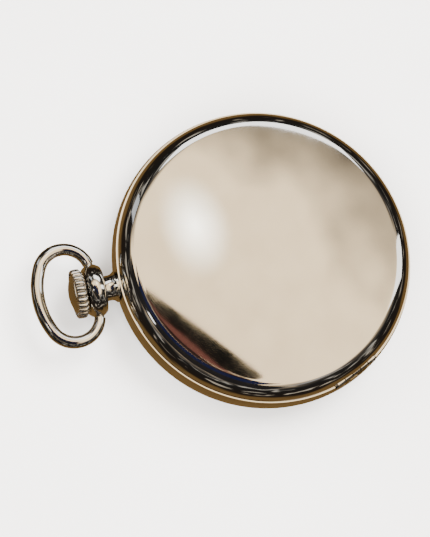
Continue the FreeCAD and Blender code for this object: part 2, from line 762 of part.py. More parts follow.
def balance_cock():
    made = part("balance_cock")
    neck, foot = BALANCE, COCK_FOOT
    grow(made, "bridge_top - 0.2", "bridge_top + 0.6", shape([
        (f"{neck[0]} - 1.1", neck[1]), (f"{neck[0]} - 0.4", f"{neck[1]} - 1.0"),
        (f"{neck[0]} + 0.4", f"{neck[1]} - 1.0"), (f"{neck[0]} + 1.1", neck[1]),
        (f"{foot[0]} + 3.4", f"{foot[1]} - 2.4"), (f"{foot[0]} + 1.6", f"{foot[1]} + 2.2"),
        (f"{foot[0]} - 3.4", f"{foot[1]} + 1.0"), (f"{foot[0]} - 2.9", f"{foot[1]} - 2.6"),
    ]))
    grow(made, "plate_top", "bridge_top", circles("1.9", [COCK_FOOT]))
    sink(made, "bridge_top + 0.6", "plate_top", circles("0.5", [COCK_FOOT]))
    sink(made, "bridge_top + 0.6", "bridge_top - 0.5", circles("1.0", [COCK_FOOT]))
    sink(made, "bridge_top + 0.6", "bridge_top - 0.2", circles("jewel_round", [BALANCE]))


def screws(label, places, low, shoulder, high, shank, head):
    """Slotted screws that share one size: shanks to the shoulder and heads above it."""
    made = part(label)
    grow(made, low, shoulder, circles(shank, places))
    grow(made, shoulder, high, circles(head, places))

    def slots(drawn):
        for x, y in places:
            outline(drawn, box_points(f"{x} - ({head})*1.1", f"{y} - 0.1", f"{x} + ({head})*1.1", f"{y} + 0.1"))

    sink(made, high, f"({high}) - 0.15", slots)
    return made


def fasteners():
    screws("bridge_screws", [*BRIDGE_FEET, *TRAIN_FEET, COCK_FOOT], "plate_top - 1.1", "bridge_top - 0.5",
           "bridge_top", "0.44", "0.95")
    screws("case_screws", CASE_SCREWS, "plate_top - 1.1", "ledge_top + 0.03", "ledge_top + 0.5", "0.34", "1.3")
    screws("pallet_cock_screws", PALLET_FEET, "plate_top - 1.1", "plate_top + 1.35", "plate_top + 1.52", "0.34",
           "0.55")
    screws("crown_wheel_screw", [CROWN_WHEEL], "bridge_bottom + 0.35", "bridge_top - 0.06", "bridge_top + 0.25", "0.44",
           "1.6")
    screws("ratchet_screw", [BARREL], "bridge_bottom + 0.3", "bridge_top - 0.06", "bridge_top + 0.25", "0.4", "1.8")


def jewels():
    made = part("jewels")
    floor, under = "plate_top - 0.6", "bridge_top - 0.45"
    grow(made, floor, "plate_top - 0.3", circles("jewel_round - 0.005", [ESCAPE, PALLET, BALANCE], "jewel_hole"))
    grow(made, floor, "plate_top - 0.3", circles("jewel_round - 0.005", [FOURTH], "0.32"))
    grow(made, "train_floor - 0.6", "train_floor - 0.3", circles("jewel_round - 0.005", [THIRD], "jewel_hole"))
    grow(made, under, "bridge_top - 0.1", circles("jewel_round - 0.005", [THIRD, FOURTH, ESCAPE], "jewel_hole"))
    grow(made, under, "bridge_top - 0.1", circles("jewel_round - 0.005", [CENTRE], "0.23"))
    grow(made, "plate_top + 0.9", "plate_top + 1.25", circles("jewel_round - 0.005", [PALLET], "jewel_hole"))
    grow(made, "bridge_top + 0.1", "bridge_top + 0.5", circles("jewel_round - 0.005", [BALANCE], "jewel_hole"))


# Barrel and going train. Each pinion is cut on its own arbor.

def arbor_gear(label, arbor, *gear_size, **gear_place):
    """A pinion with its arbor, whose (radius, low, high) lengths run bottom to top."""
    made = gear(label, *gear_size, **gear_place)
    for radius, low, high in arbor:
        grow(made, low, high, circles(radius, [CENTRE]))
    return made


def barrel():
    low, high, outer = "(plate_top + 0.1)", "(bridge_bottom - 0.1)", "(barrel_teeth*barrel_module/2)"
    drum = gear("barrel_drum", "barrel_teeth", "barrel_module", low, f"{low} + 0.5", at=BARREL, bore="0.85")
    grow(drum, f"{low} + 0.4", f"{high} - 0.2", lambda drawn: ring(drawn, f"{outer} - 0.35", f"{outer} - 0.6"))
    sink(drum, f"{low} + 0.5", f"{low} + 0.2", circles(f"{outer} - 0.6", [CENTRE]))
    cover = part("barrel_cover", at=BARREL)
    grow(cover, f"{high} - 0.19", high, lambda drawn: ring(drawn, f"{outer} - 0.36", "0.85"))
    turned("barrel_arbor", [
        ("0", "plate_top - 0.8"), ("0.7", "plate_top - 0.8"), ("0.7", f"{low} + 0.1"), ("0.8", f"{low} + 0.1"),
        ("0.8", f"{low} + 0.25"), ("1.3", f"{low} + 0.25"), ("1.3", f"{high} - 0.25"), ("0.8", f"{high} - 0.25"),
        ("0.8", "bridge_top - 0.07"), ("0.42", "bridge_top - 0.07"), ("0.42", "bridge_bottom + 0.3"),
        ("0", "bridge_bottom + 0.3"),
    ], at=BARREL)
    spring = spiral("mainspring", BARREL, 1.5, 0.5, 10, 0.14, f"{low} + 0.3", f"{high} - 0.35")
    parts.append(spring)


def spiral(label, at, inner, pitch, turns, thick, low, high):
    """A flat coiled spring of half-round arcs, each wider than the last by half the pitch."""
    def side(offset):
        arcs = []
        for half in range(2 * turns):
            radius = inner + half * pitch / 2 + offset
            middle = V(0 if half % 2 == 0 else pitch / 2, 0, 0)
            way = 1 if half % 2 == 0 else -1
            start, top, end = (middle + V(*step) * radius for step in ((way, 0, 0), (0, way, 0), (-way, 0, 0)))
            arcs.append(Part.Arc(start, top, end).toShape())
        return arcs

    outer, inside = side(thick / 2), side(-thick / 2)
    ends = [Part.makeLine(inside[0].firstVertex().Point, outer[0].firstVertex().Point),
            Part.makeLine(outer[-1].lastVertex().Point, inside[-1].lastVertex().Point)]
    wire = Part.Wire(Part.__sortEdges__([*outer, *inside, *ends]))
    made = doc.addObject("Part::Feature", label)
    made.Label = label
    made.Shape = Part.Face(wire).extrude(V(0, 0, number(high) - number(low)))
    made.Placement = FreeCAD.Placement(V(number(at[0]), number(at[1]), number(low)), FreeCAD.Rotation())
    return made


def going_train():
    lower = "train_floor - 0.55"
    upper = "bridge_top - 0.15"
    centre_phase = meshed("0", "barrel_teeth", "centre_leaves", "barrel_angle + 180")
    third_phase = meshed("0", "centre_teeth", "third_leaves", THIRD_LINE)
    third_at = f"(atan2(({FOURTH[1]}) - ({THIRD[1]}); ({FOURTH[0]}) - ({THIRD[0]}))/1deg)"
    fourth_phase = meshed("0", "third_teeth", "fourth_leaves", third_at)
    escape_phase = meshed("0", "fourth_teeth", "escape_leaves", "escape_line")
    arbor_gear("centre_pinion", [("0.34", "dial_face - 1.6", "plate_top + 0.1"), ("0.2", "plate_top", upper)],
               "centre_leaves", "barrel_module", "plate_top + 0.05", "plate_top + 0.85", phase=centre_phase)
    gear("centre_wheel", "centre_teeth", "centre_module", "train_floor + 0.1", "train_floor + 0.35", bore="0.34",
         spokes=("1.5", "centre_teeth*centre_module/2 - 0.7", 5))
    arbor_gear("third_pinion", [("pivot_round", lower, upper), ("0.25", "train_floor + 0.05", "bridge_bottom")],
               "third_leaves", "centre_module", "train_floor + 0.05", "plate_top + 0.15", phase=third_phase, at=THIRD)
    gear("third_wheel", "third_teeth", "third_module", "plate_top + 0.3", "plate_top + 0.5", bore="0.25", at=THIRD,
         spokes=("1.1", "third_teeth*third_module/2 - 0.6", 5))
    arbor_gear("fourth_pinion", [("0.25", "seconds_face - 0.9", "bridge_bottom"), ("pivot_round", lower, upper)],
               "fourth_leaves", "fourth_module", "plate_top + 0.2", "plate_top + 0.6", phase=fourth_phase, at=FOURTH)
    gear("fourth_wheel", "fourth_teeth", "fourth_module", "plate_top + 0.9", "plate_top + 1.1", bore="0.25",
         at=FOURTH, spokes=("1.0", "fourth_teeth*fourth_module/2 - 0.55", 5))
    arbor_gear("escape_pinion", [("pivot_round", "plate_top - 0.55", upper), ("0.2", "plate_top + 0.1", "bridge_bottom")],
               "escape_leaves", "fourth_module", "plate_top + 0.8", "plate_top + 1.2", phase=escape_phase, at=ESCAPE)


# Escapement and balance

def escape_wheel():
    made = part("escape_wheel", at=ESCAPE, turn="escape_line")
    low, high = "plate_top + 0.35", "plate_top + 0.55"
    grow(made, low, high, lambda drawn: ring(drawn, "escape_round - 0.75", "0.2"))
    club = [
        ("escape_round - 0.85", "-0.32"), ("escape_round - 0.3", "-0.08"), ("escape_round - 0.12", "-0.06"),
        ("escape_round", "0.12"), ("escape_round - 0.12", "0.2"), ("escape_round - 0.45", "0.06"),
        ("escape_round - 0.85", "0.12"),
    ]
    repeat(made, *grow(made, low, high, shape(club)), "escape_teeth")
    open_spokes(made, low, high, "0.7", "escape_round - 1.1", 4, "0.14")


def pallet():
    made = part("pallet_fork", at=PALLET, turn="escape_line")
    low, high, reach = "plate_top + 0.4", "plate_top + 0.7", "escape_round/sqrt(3)"
    arms = [
        ("-1.1", "1.75"), ("-0.75", "1.95"), ("0.1", "0.4"), ("2.3", "0.13"), ("2.6", "0.42"), ("3.05", "0.42"),
        ("3.05", "0.2"), ("2.75", "0.2"), ("2.75", "-0.2"), ("3.05", "-0.2"), ("3.05", "-0.42"), ("2.6", "-0.42"),
        ("2.3", "-0.13"), ("0.1", "-0.4"), ("-0.75", "-1.95"), ("-1.1", "-1.75"), ("-0.45", "-0.3"),
        ("-0.45", "0.3"),
    ]
    grow(made, low, high, shape(arms))
    grow(made, "plate_top - 0.5", "plate_top + 1.15", circles("pivot_round", [CENTRE]))
    grow(made, "plate_top + 0.1", "plate_top + 0.8", circles("0.18", [CENTRE]))
    stones = part("pallet_stones", at=PALLET, turn="escape_line")

    def stone_pair(drawn):
        for side in ("1", "-1"):
            x, y = f"-({reach})*0.5 + stone_set_back", f"{side}*(({reach})*0.866 + stone_set_back)"
            corners = [(f"{x} - 0.12", f"{y} - 0.1"), (f"{x} + 0.12", f"{y} - 0.1"), (f"{x} + 0.12", f"{y} + 0.16"),
                       (f"{x} - 0.12", f"{y} + 0.16")]
            outline(drawn, corners)

    grow(stones, high, f"{high} + 0.12", stone_pair)


def balance():
    wheel = part("balance_wheel", at=BALANCE, turn="escape_line + 35")
    rim = "balance_round - balance_rim"
    grow(wheel, "balance_low", "balance_high", lambda drawn: ring(drawn, "balance_round - 0.05", rim))
    grow(wheel, "balance_low", "balance_low + 0.3", shape(box_points(f"-({rim}) - 0.1", "-0.4", f"{rim} + 0.1", "0.4")))
    grow(wheel, "balance_low", "balance_low + 0.3", circles("0.9", [CENTRE]))
    sink(wheel, "balance_low + 0.3", "balance_low", circles("0.25", [CENTRE]))
    weights = part("balance_screws", at=BALANCE, turn="escape_line + 50")
    height = "(balance_low + balance_high)/2"
    drawn = sketch(weights, "balance_round - 0.04", "YZ_Plane")
    circle(drawn, "0.22", ("0", height))
    head = feature(weights, "Pad", drawn, Length="0.26")
    axis = sketch(weights)
    circle(axis, "0.1")
    repeat(weights, head, axis, "balance_screws")
    turned("balance_staff", steps(
        ("pivot_round", "plate_top - 0.55", "plate_top + 0.2"), ("0.25", "plate_top + 0.2", "balance_low + 0.35"),
        ("0.4", "balance_low + 0.35", "balance_high + 0.4"), ("0.17", "balance_high + 0.4", "bridge_top - 0.25"),
        ("pivot_round", "bridge_top - 0.25", "bridge_top + 0.4"),
    ), at=BALANCE)
    roller = part("roller", at=BALANCE, turn="escape_line")
    grow(roller, "plate_top + 0.85", "plate_top + 1.1", lambda drawn: ring(drawn, "0.75", "0.25"))
    grow(roller, "plate_top + 0.35", "plate_top + 0.9", circles("0.11", [("-0.58", "0")]))
    spring = spiral("hairspring", BALANCE, 0.6, 0.26, 10, 0.06, "balance_high + 0.12", "balance_high + 0.36")
    parts.append(spring)
    regulator = part("regulator", at=BALANCE)
    low, high = "bridge_top + 0.62", "bridge_top + 0.82"
    grow(regulator, low, high, circles("1.05", [CENTRE]))
    grow(regulator, low, high, shape([("-0.35", "0.7"), ("0.35", "0.7"), ("0.12", "4.6"), ("-0.12", "4.6")]))
    sink(regulator, high, low, circles("0.6", [CENTRE]))


# Winding and setting

MINUTE_PHASE = meshed("0", "cannon_leaves", "minute_teeth", "90")
INTERMEDIATE_PHASE = meshed(MINUTE_PHASE, "minute_teeth", "setting_teeth", "90")
SETTING_PHASE = meshed(INTERMEDIATE_PHASE, "setting_teeth", "setting_teeth", "90")


def keyless_works():
    low, high = "wheel_sink + 0.05", "bridge_top - 0.08"
    gear("crown_wheel", "crown_wheel_teeth", "keyless_module", low, high, phase="90", bore="0.48", at=CROWN_WHEEL,
         lean="0.5")
    to_barrel = f"(atan2(({BARREL[1]}) - ({CROWN_WHEEL[1]}); ({BARREL[0]}) - ({CROWN_WHEEL[0]}))/1deg)"
    gear("ratchet_wheel", "ratchet_teeth", "keyless_module", low, high, bore="0.82", at=BARREL, lean="0.5",
         phase=meshed("90", "crown_wheel_teeth", "ratchet_teeth", to_barrel))
    pinion = gear("winding_pinion", "winding_teeth", "keyless_module", "winding_low", "winding_high",
                  bore="stem_round + 0.05", lean="0.5")
    pinion.Placement = FreeCAD.Placement(V(), FreeCAD.Rotation(V(1, 0, 0), -90) * FreeCAD.Rotation(
        V(0, 0, 1), -90 + 180 / number("winding_teeth")))
    pinion.setExpression("Placement.Rotation.Angle", None)
    pinion.setExpression("Placement.Base.z", bound("stem_height"))
    turned("clutch", [
        ("stem_round + 0.05", "clutch_low"), ("clutch_round - clutch_bevel", "clutch_low"),
        ("clutch_round", "clutch_low + clutch_bevel"), ("clutch_round", f"{CLUTCH_MIDDLE} - clutch_slot/2"),
        ("1.15", f"{CLUTCH_MIDDLE} - clutch_slot/2"), ("1.15", f"{CLUTCH_MIDDLE} + clutch_slot/2"),
        ("clutch_round", f"{CLUTCH_MIDDLE} + clutch_slot/2"), ("clutch_round", "clutch_high"),
        ("stem_round + 0.05", "clutch_high"),
    ], **ALONG_STEM)
    level, roof = "plate_top + 0.06", "plate_top + 0.36"
    lever = part("setting_lever", at=LEVER)
    grow(lever, level, roof, shape([
        ("-lever_reach", "-0.13"), ("-1.2", "-0.6"), ("0", "-0.9"), ("1.1", "0"), ("0", "0.9"), ("-1.2", "0.6"),
        ("-lever_reach", "0.13"),
    ]))
    grow(lever, "plate_top - 0.7", "bridge_bottom - 0.1", circles("0.36", [CENTRE]))
    yoke = part("yoke", at=YOKE)
    grow(yoke, level, roof, shape([
        ("-yoke_reach", "-0.18"), ("-1.2", "-0.6"), ("0", "-0.9"), ("1.1", "0"), ("0", "0.9"), ("-1.2", "0.6"),
        ("-yoke_reach", "0.18"),
    ]))
    grow(yoke, "plate_top - 0.7", "bridge_bottom - 0.1", circles("0.36", [CENTRE]))
    click = part("click", at=CLICK, turn=f"{CLICK_LINE} - 90")
    grow(click, "bridge_top - 0.45", "bridge_top - 0.1", shape([
        ("-1.0", "-0.45"), ("0.5", "-0.65"), ("1.5", "-0.95"), ("2.0", "-1.4"), ("2.15", "-1.32"), ("1.95", "-0.2"),
        ("0.5", "0.65"), ("-1.0", "0.45"),
    ]))
    grow(click, "bridge_top - 0.85", "bridge_top - 0.4", circles("0.35", [CENTRE]))
    for name, at, phase in (("intermediate_wheel", INTERMEDIATE, INTERMEDIATE_PHASE),
                            ("setting_wheel", SETTING, SETTING_PHASE)):
        gear(name, "setting_teeth", "minute_module", "plate_bottom + 0.65", "plate_bottom + 1.0", bore="0.4", at=at,
             phase=phase)


# Dial side

def motion_work():
    low = "plate_bottom + 0.07"
    cannon = gear("cannon_pinion", "cannon_leaves", "minute_module", "plate_bottom + 0.6", "plate_bottom + 1.1",
                  bore="0.34")
    grow(cannon, "dial_face - 1.7", "plate_bottom + 0.65", lambda drawn: ring(drawn, "0.55", "0.34"))
    wheel = gear("minute_wheel", "minute_teeth", "minute_module", "plate_bottom + 0.65", "plate_bottom + 1.0",
                 phase=MINUTE_PHASE, at=MINUTE)
    pinion = gear("minute_pinion", "minute_leaves", "hour_module", low, "plate_bottom + 0.6", at=MINUTE)
    grow(wheel, "plate_bottom + 1.0", "motion_roof - 0.05", circles("0.4", [CENTRE]))
    grow(pinion, "plate_bottom + 0.55", "plate_bottom + 0.64", circles("0.4", [CENTRE]))
    hour = gear("hour_wheel", "hour_teeth", "hour_module", low, "plate_bottom + 0.35", bore="0.6",
                phase=meshed("0", "minute_leaves", "hour_teeth", "-90"))
    grow(hour, "dial_face - 1.05", "plate_bottom + 0.1", lambda drawn: ring(drawn, "0.85", "0.6"))


def dial_and_hands():
    dial = part("dial")
    grow(dial, "dial_face", "dial_back", circles("dial_radius", [CENTRE]))
    sink(dial, "dial_back", "dial_face", circles("1.0", [CENTRE]))
    sink(dial, "dial_back", "dial_face", circles("seconds_radius", [FOURTH]))
    grow(dial, "dial_back - 0.1", "plate_bottom + 1.1", circles("0.33", DIAL_FEET))
    seconds = part("seconds_dial", at=FOURTH)
    grow(seconds, "seconds_face", "dial_back", lambda drawn: ring(drawn, "seconds_radius - 0.01", "0.4"))
    hand("hour_hand", "hour_hand_turn", CENTRE, "dial_face - 1.0", "0.86", 11.0, 0.75, hub="1.5")
    hand("minute_hand", "minute_hand_turn", CENTRE, "dial_face - 1.65", "0.56", 17.4, 0.6, hub="1.2")
    hand("seconds_hand", "seconds_hand_turn", FOURTH, "dial_face - 0.24", "0.26", 4.0, 0.18, hub="0.55")


def hand(label, turn, at, low, bore, reach, half, hub):
    """A leaf-shaped hand that points to 12 before it is turned to its time."""
    made = part(label, at=at, turn=turn)
    high = f"{low} + {0.2 if reach > 5 else 0.12}"
    grow(made, low, high, circles(hub, [CENTRE]))
    leaf = [(str(-0.4 * half), "0"), (str(0.4 * half), "0"), (str(half), str(0.55 * reach)), ("0.05", str(reach)),
            ("-0.05", str(reach)), (str(-half), str(0.55 * reach))]
    grow(made, low, high, shape(leaf))
    sink(made, high, low, circles(bore, [CENTRE]))


def click_spring():
    spring = part("click_spring", at=CLICK, turn=f"{CLICK_LINE} - 90")
    grow(spring, "bridge_top - 0.45", "bridge_top - 0.2", shape([
        ("-2.2", "0.9"), ("1.2", "0.78"), ("1.25", "0.92"), ("-2.2", "1.15"),
    ]))


case_middle()
back_cover()
dust_cover()
hinge_pin()
bezel_and_crystal()
pendant()
bow()
crown()
winding_stem()
main_plate()
barrel_bridge()
train_bridge()
pallet_cock()
balance_cock()
fasteners()
jewels()
barrel()
going_train()
escape_wheel()
pallet()
balance()
keyless_works()
click_spring()
motion_work()
dial_and_hands()


def check_and_export():
    """Stop on any failed object, then write each part's solid to its own file."""
    doc.recompute()
    for one in doc.Objects:
        if {"Invalid", "Error"} & set(one.State):
            raise RuntimeError(f"{one.Name} did not recompute: {one.State}")
    os.makedirs("parts", exist_ok=True)
    for made in parts:
        if made.Shape.isNull() or not made.Shape.isValid():
            raise RuntimeError(f"{made.Label} has no valid shape")
        made.Shape.exportStep(os.path.join("parts", made.Label + ".step"))
        print(f"{made.Label}: {len(made.Shape.Solids)} solid(s), {made.Shape.Volume:.3f} mm3")


check_and_export()
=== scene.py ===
import json
import math

import bmesh
import bpy
from mathutils import Matrix, Vector


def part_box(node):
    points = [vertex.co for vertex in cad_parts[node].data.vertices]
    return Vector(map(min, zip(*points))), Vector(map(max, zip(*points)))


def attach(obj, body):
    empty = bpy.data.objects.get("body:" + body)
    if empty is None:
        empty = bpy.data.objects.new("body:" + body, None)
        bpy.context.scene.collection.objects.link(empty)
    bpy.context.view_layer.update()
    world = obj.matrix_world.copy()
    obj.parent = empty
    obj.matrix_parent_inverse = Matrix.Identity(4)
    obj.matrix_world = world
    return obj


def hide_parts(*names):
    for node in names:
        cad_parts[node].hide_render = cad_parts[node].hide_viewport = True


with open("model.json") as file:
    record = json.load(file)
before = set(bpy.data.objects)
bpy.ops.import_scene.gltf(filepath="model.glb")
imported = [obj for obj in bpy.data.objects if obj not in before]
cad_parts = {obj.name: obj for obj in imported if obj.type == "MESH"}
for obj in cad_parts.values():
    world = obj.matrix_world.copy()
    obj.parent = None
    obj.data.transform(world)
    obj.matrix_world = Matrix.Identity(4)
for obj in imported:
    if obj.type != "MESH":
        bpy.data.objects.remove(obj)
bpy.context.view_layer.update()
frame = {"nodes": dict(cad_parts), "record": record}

# The watch lies on its crystal: +Z is out of its back, +Y runs to the pendant. Lengths are in metres.
MM = 0.001
CASE_R = 25.0 * MM
BACK_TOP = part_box("back_cover")[1][2]
STEM_Z = 6.6 * MM
HINGE_TURN = math.radians(204.5)
HINGE_R = 24.0 * MM
HINGE_Z = 9.0 * MM
COVER_FOOT = 8.92 * MM
NOTCH_HALF = 4.4 * MM
NOTCH_TOP = 9.7 * MM
KNUCKLE_R = 0.6 * MM
KNUCKLE_BORE = 0.3 * MM
DIAL_Z = 3.2 * MM
CASE_BORE = 21.6 * MM
BAND_LOW, BAND_HIGH = 4.3 * MM, 8.9 * MM
LIP_OUTER, LIP_INNER, LIP_TOP = 23.6 * MM, 22.8 * MM, 9.4 * MM
BOW_AT = 28.5 * MM
SECONDS_CENTRE = Vector((0.0, -9.0 * MM, 3.5 * MM))


# ---------------------------------------------------------------- materials

def new_material(name):
    """A new node material, with its tree and its shader."""
    made = bpy.data.materials.new(name)
    made.use_nodes = True
    return made, made.node_tree, made.node_tree.nodes["Principled BSDF"]


def add(tree, kind, **settings):
    """A node with its settings and, for names that match an input, its input values."""
    node = tree.nodes.new("ShaderNode" + kind)
    for name, value in settings.items():
        if name in node.inputs:
            node.inputs[name].default_value = value
        else:
            setattr(node, name, value)
    return node


def coordinates(tree, scale=(1, 1, 1), turn=0.0):
    """Object coordinates, stretched and turned."""
    place = add(tree, "TexCoord")
    mapping = add(tree, "Mapping")
    mapping.inputs["Scale"].default_value = scale
    mapping.inputs["Rotation"].default_value = (0, 0, turn)
    tree.links.new(place.outputs["Object"], mapping.inputs["Vector"])
    return mapping.outputs["Vector"]


def ramp(tree, source, stops):
    """A colour ramp fed by a factor; stops are (place, colour)."""
    node = add(tree, "ValToRGB")
    band = node.color_ramp
    while len(band.elements) < len(stops):
        band.elements.new(0.5)
    for element, (place, colour) in zip(band.elements, stops):
        element.position = place
        element.color = (*colour, 1.0) if len(colour) == 3 else colour
    tree.links.new(source, node.inputs["Fac"])
    return node.outputs["Color"]


def spread(tree, source, low, high, first=0.0, last=1.0):
    """A factor spread onto a range of values."""
    node = add(tree, "MapRange")
    node.inputs["From Min"].default_value = first
    node.inputs["From Max"].default_value = last
    node.inputs["To Min"].default_value = low
    node.inputs["To Max"].default_value = high
    tree.links.new(source, node.inputs["Value"])
    return node.outputs["Result"]


def noise(tree, vector, scale, detail=4.0):
    """A noise factor."""
    node = add(tree, "TexNoise", Scale=scale, Detail=detail)
    tree.links.new(vector, node.inputs["Vector"])
    return node.outputs["Fac"]


def bump(tree, shader, height, strength, distance):
    """Bump the shader's normal by a height; bumps added later lie over earlier ones."""
    node = add(tree, "Bump", Strength=strength, Distance=distance)
    tree.links.new(height, node.inputs["Height"])
    if shader.inputs["Normal"].is_linked:
        tree.links.new(shader.inputs["Normal"].links[0].from_socket, node.inputs["Normal"])
    tree.links.new(node.outputs["Normal"], shader.inputs["Normal"])


def hairlines(tree, turn, density, width):
    """Thin straight scratches that run one way: 1 on a scratch, 0 off it."""
    lines = noise(tree, coordinates(tree, (density, density * 0.02, density * 0.02), turn), 1.0, 2.0)
    return spread(tree, lines, 0.0, 1.0, 0.66 - width, 0.66)


def polished(name, colour, rough=0.045, scratch=0.35):
    """Mirror-polished metal with faint wiping marks, hairline scratches and a cloudy film."""
    made, tree, shader = new_material(name)
    shader.inputs["Metallic"].default_value = 1.0
    film = noise(tree, coordinates(tree), 160.0, 6.0)
    pale = tuple(min(1.0, c * 1.05) for c in colour)
    dull = tuple(c * 0.93 for c in colour)
    tree.links.new(ramp(tree, film, [(0.3, dull), (0.7, pale)]), shader.inputs["Base Color"])
    cloudy = spread(tree, film, rough * 0.6, rough * 1.7, 0.3, 0.75)
    tree.links.new(cloudy, shader.inputs["Roughness"])
    for turn, density in ((0.5, 5200.0), (1.9, 3800.0), (2.7, 6400.0)):
        bump(tree, shader, hairlines(tree, turn, density, 0.04), scratch * 0.12, 2e-6)
    return made


def brushed(name, colour, rough=0.28, scale=9000.0, turn=0.0):
    """Straight-grained metal."""
    made, tree, shader = new_material(name)
    shader.inputs["Metallic"].default_value = 1.0
    grain = noise(tree, coordinates(tree, (scale, scale * 0.02, scale * 0.1), turn), 1.0, 3.0)
    tint = noise(tree, coordinates(tree), 400.0)
    tree.links.new(ramp(tree, tint, [(0.3, tuple(c * 0.88 for c in colour)), (0.7, colour)]),
                   shader.inputs["Base Color"])
    tree.links.new(spread(tree, grain, rough * 0.7, rough * 1.3), shader.inputs["Roughness"])
    bump(tree, shader, grain, 0.2, 3e-6)
    return made


def striped(name, colour):
    """Nickelled bridge metal with Geneva stripes."""
    made, tree, shader = new_material(name)
    shader.inputs["Metallic"].default_value = 1.0
    vector = coordinates(tree, (1, 1, 1), math.radians(40))
    wave = add(tree, "TexWave", wave_type="BANDS", bands_direction="X", wave_profile="SAW", Scale=95.0,
               Distortion=0.0)
    tree.links.new(vector, wave.inputs["Vector"])
    grain = noise(tree, coordinates(tree, (900.0, 9000.0, 900.0), math.radians(40)), 1.0, 3.0)
    tree.links.new(ramp(tree, wave.outputs["Fac"], [(0.0, tuple(c * 0.78 for c in colour)), (1.0, colour)]),
                   shader.inputs["Base Color"])
    tree.links.new(spread(tree, grain, 0.2, 0.38), shader.inputs["Roughness"])
    bump(tree, shader, wave.outputs["Fac"], 0.35, 4e-5)
    bump(tree, shader, grain, 0.15, 3e-6)
    return made


def circular(name, colour, rough=0.25, rings=2600.0):
    """Metal with a fine circular grain, as left by a lathe."""
    made, tree, shader = new_material(name)
    shader.inputs["Metallic"].default_value = 1.0
    wave = add(tree, "TexWave", wave_type="RINGS", rings_direction="Z", Scale=rings, Distortion=1.5,
               Detail=2.0)
    tree.links.new(coordinates(tree), wave.inputs["Vector"])
    tint = noise(tree, coordinates(tree), 350.0)
    tree.links.new(ramp(tree, tint, [(0.3, tuple(c * 0.85 for c in colour)), (0.7, colour)]),
                   shader.inputs["Base Color"])
    tree.links.new(spread(tree, wave.outputs["Fac"], rough * 0.8, rough * 1.25), shader.inputs["Roughness"])
    bump(tree, shader, wave.outputs["Fac"], 0.12, 2e-6)
    return made


def ruby():
    made, tree, shader = new_material("ruby")
    depth = noise(tree, coordinates(tree), 1500.0, 2.0)
    tree.links.new(ramp(tree, depth, [(0.3, (0.28, 0.0, 0.03)), (0.7, (0.62, 0.02, 0.09))]),
                   shader.inputs["Base Color"])
    shader.inputs["Roughness"].default_value = 0.06
    shader.inputs["Coat Weight"].default_value = 0.6
    return made


def crystal_glass():
    made, tree, shader = new_material("crystal_glass")
    haze = noise(tree, coordinates(tree), 220.0, 5.0)
    tree.links.new(spread(tree, haze, 0.0, 0.03, 0.4, 0.8), shader.inputs["Roughness"])
    shader.inputs["Base Color"].default_value = (0.97, 0.99, 0.98, 1)
    shader.inputs["Transmission Weight"].default_value = 1.0
    shader.inputs["IOR"].default_value = 1.45
    bump(tree, shader, hairlines(tree, 0.9, 4200.0, 0.03), 0.03, 1e-6)
    return made


def enamel():
    made, tree, shader = new_material("enamel")
    mottle = noise(tree, coordinates(tree), 300.0, 5.0)
    tree.links.new(ramp(tree, mottle, [(0.3, (0.80, 0.78, 0.72)), (0.7, (0.86, 0.85, 0.80))]),
                   shader.inputs["Base Color"])
    tree.links.new(spread(tree, mottle, 0.12, 0.2), shader.inputs["Roughness"])
    shader.inputs["Coat Weight"].default_value = 0.5
    bump(tree, shader, mottle, 0.05, 1e-5)
    return made


def print_ink(name, colour):
    made, tree, shader = new_material(name)
    patch = noise(tree, coordinates(tree), 2500.0, 3.0)
    tree.links.new(ramp(tree, patch, [(0.3, colour), (0.8, tuple(c * 1.6 + 0.01 for c in colour))]),
                   shader.inputs["Base Color"])
    tree.links.new(spread(tree, patch, 0.35, 0.5), shader.inputs["Roughness"])
    bump(tree, shader, patch, 0.1, 1e-6)
    return made


SILVER = (0.86, 0.845, 0.81)
MATERIALS = {
    "polished_case": polished("case_silver", SILVER),
    "case_inner": polished("inner_cover_silver", (0.80, 0.79, 0.76), 0.09, 0.6),
    "crown_steel": polished("crown_nickel", (0.72, 0.70, 0.67), 0.12, 0.5),
    "crystal": crystal_glass(),
    "enamel": enamel(),
    "blued": polished("blued_steel", (0.04, 0.08, 0.30), 0.12, 0.4),
    "nickel_plate": striped("striped_nickel", (0.76, 0.74, 0.69)),
    "gilt_wheel": circular("gilt_brass", (0.86, 0.64, 0.30)),
    "bright_steel": brushed("bright_steel", (0.66, 0.66, 0.67), 0.22),
    "brass": circular("turned_brass", (0.78, 0.60, 0.31), 0.3, 1800.0),
    "ruby": ruby(),
    "spring_steel": brushed("spring_steel", (0.26, 0.28, 0.34), 0.25),
}
INK = print_ink("dial_ink", (0.012, 0.012, 0.014))


def dress(obj, slot_name, material=None):
    """Give an object its material: the one given, or else its slot's."""
    obj.data.materials.clear()
    obj.data.materials.append(material or MATERIALS[slot_name])


def dress_nodes():
    """Every carried-over CAD node takes its slot's material."""
    for entry in frame["record"]["subparts"]:
        node = frame["nodes"][entry["node"]]
        for held in node.material_slots:
            held.material = MATERIALS[entry["material_slot"]]


# ---------------------------------------------------------------- meshes

def link(mesh, name):
    """An object for a mesh, in the scene."""
    made = bpy.data.objects.new(name, mesh)
    bpy.context.scene.collection.objects.link(made)
    return made


def arc(centre, radius, start, end, count):
    """Points along an arc of a profile, from one angle to another in degrees."""
    angles = [math.radians(start + (end - start) * k / (count - 1)) for k in range(count)]
    return [(centre[0] + radius * math.cos(a), centre[1] + radius * math.sin(a)) for a in angles]


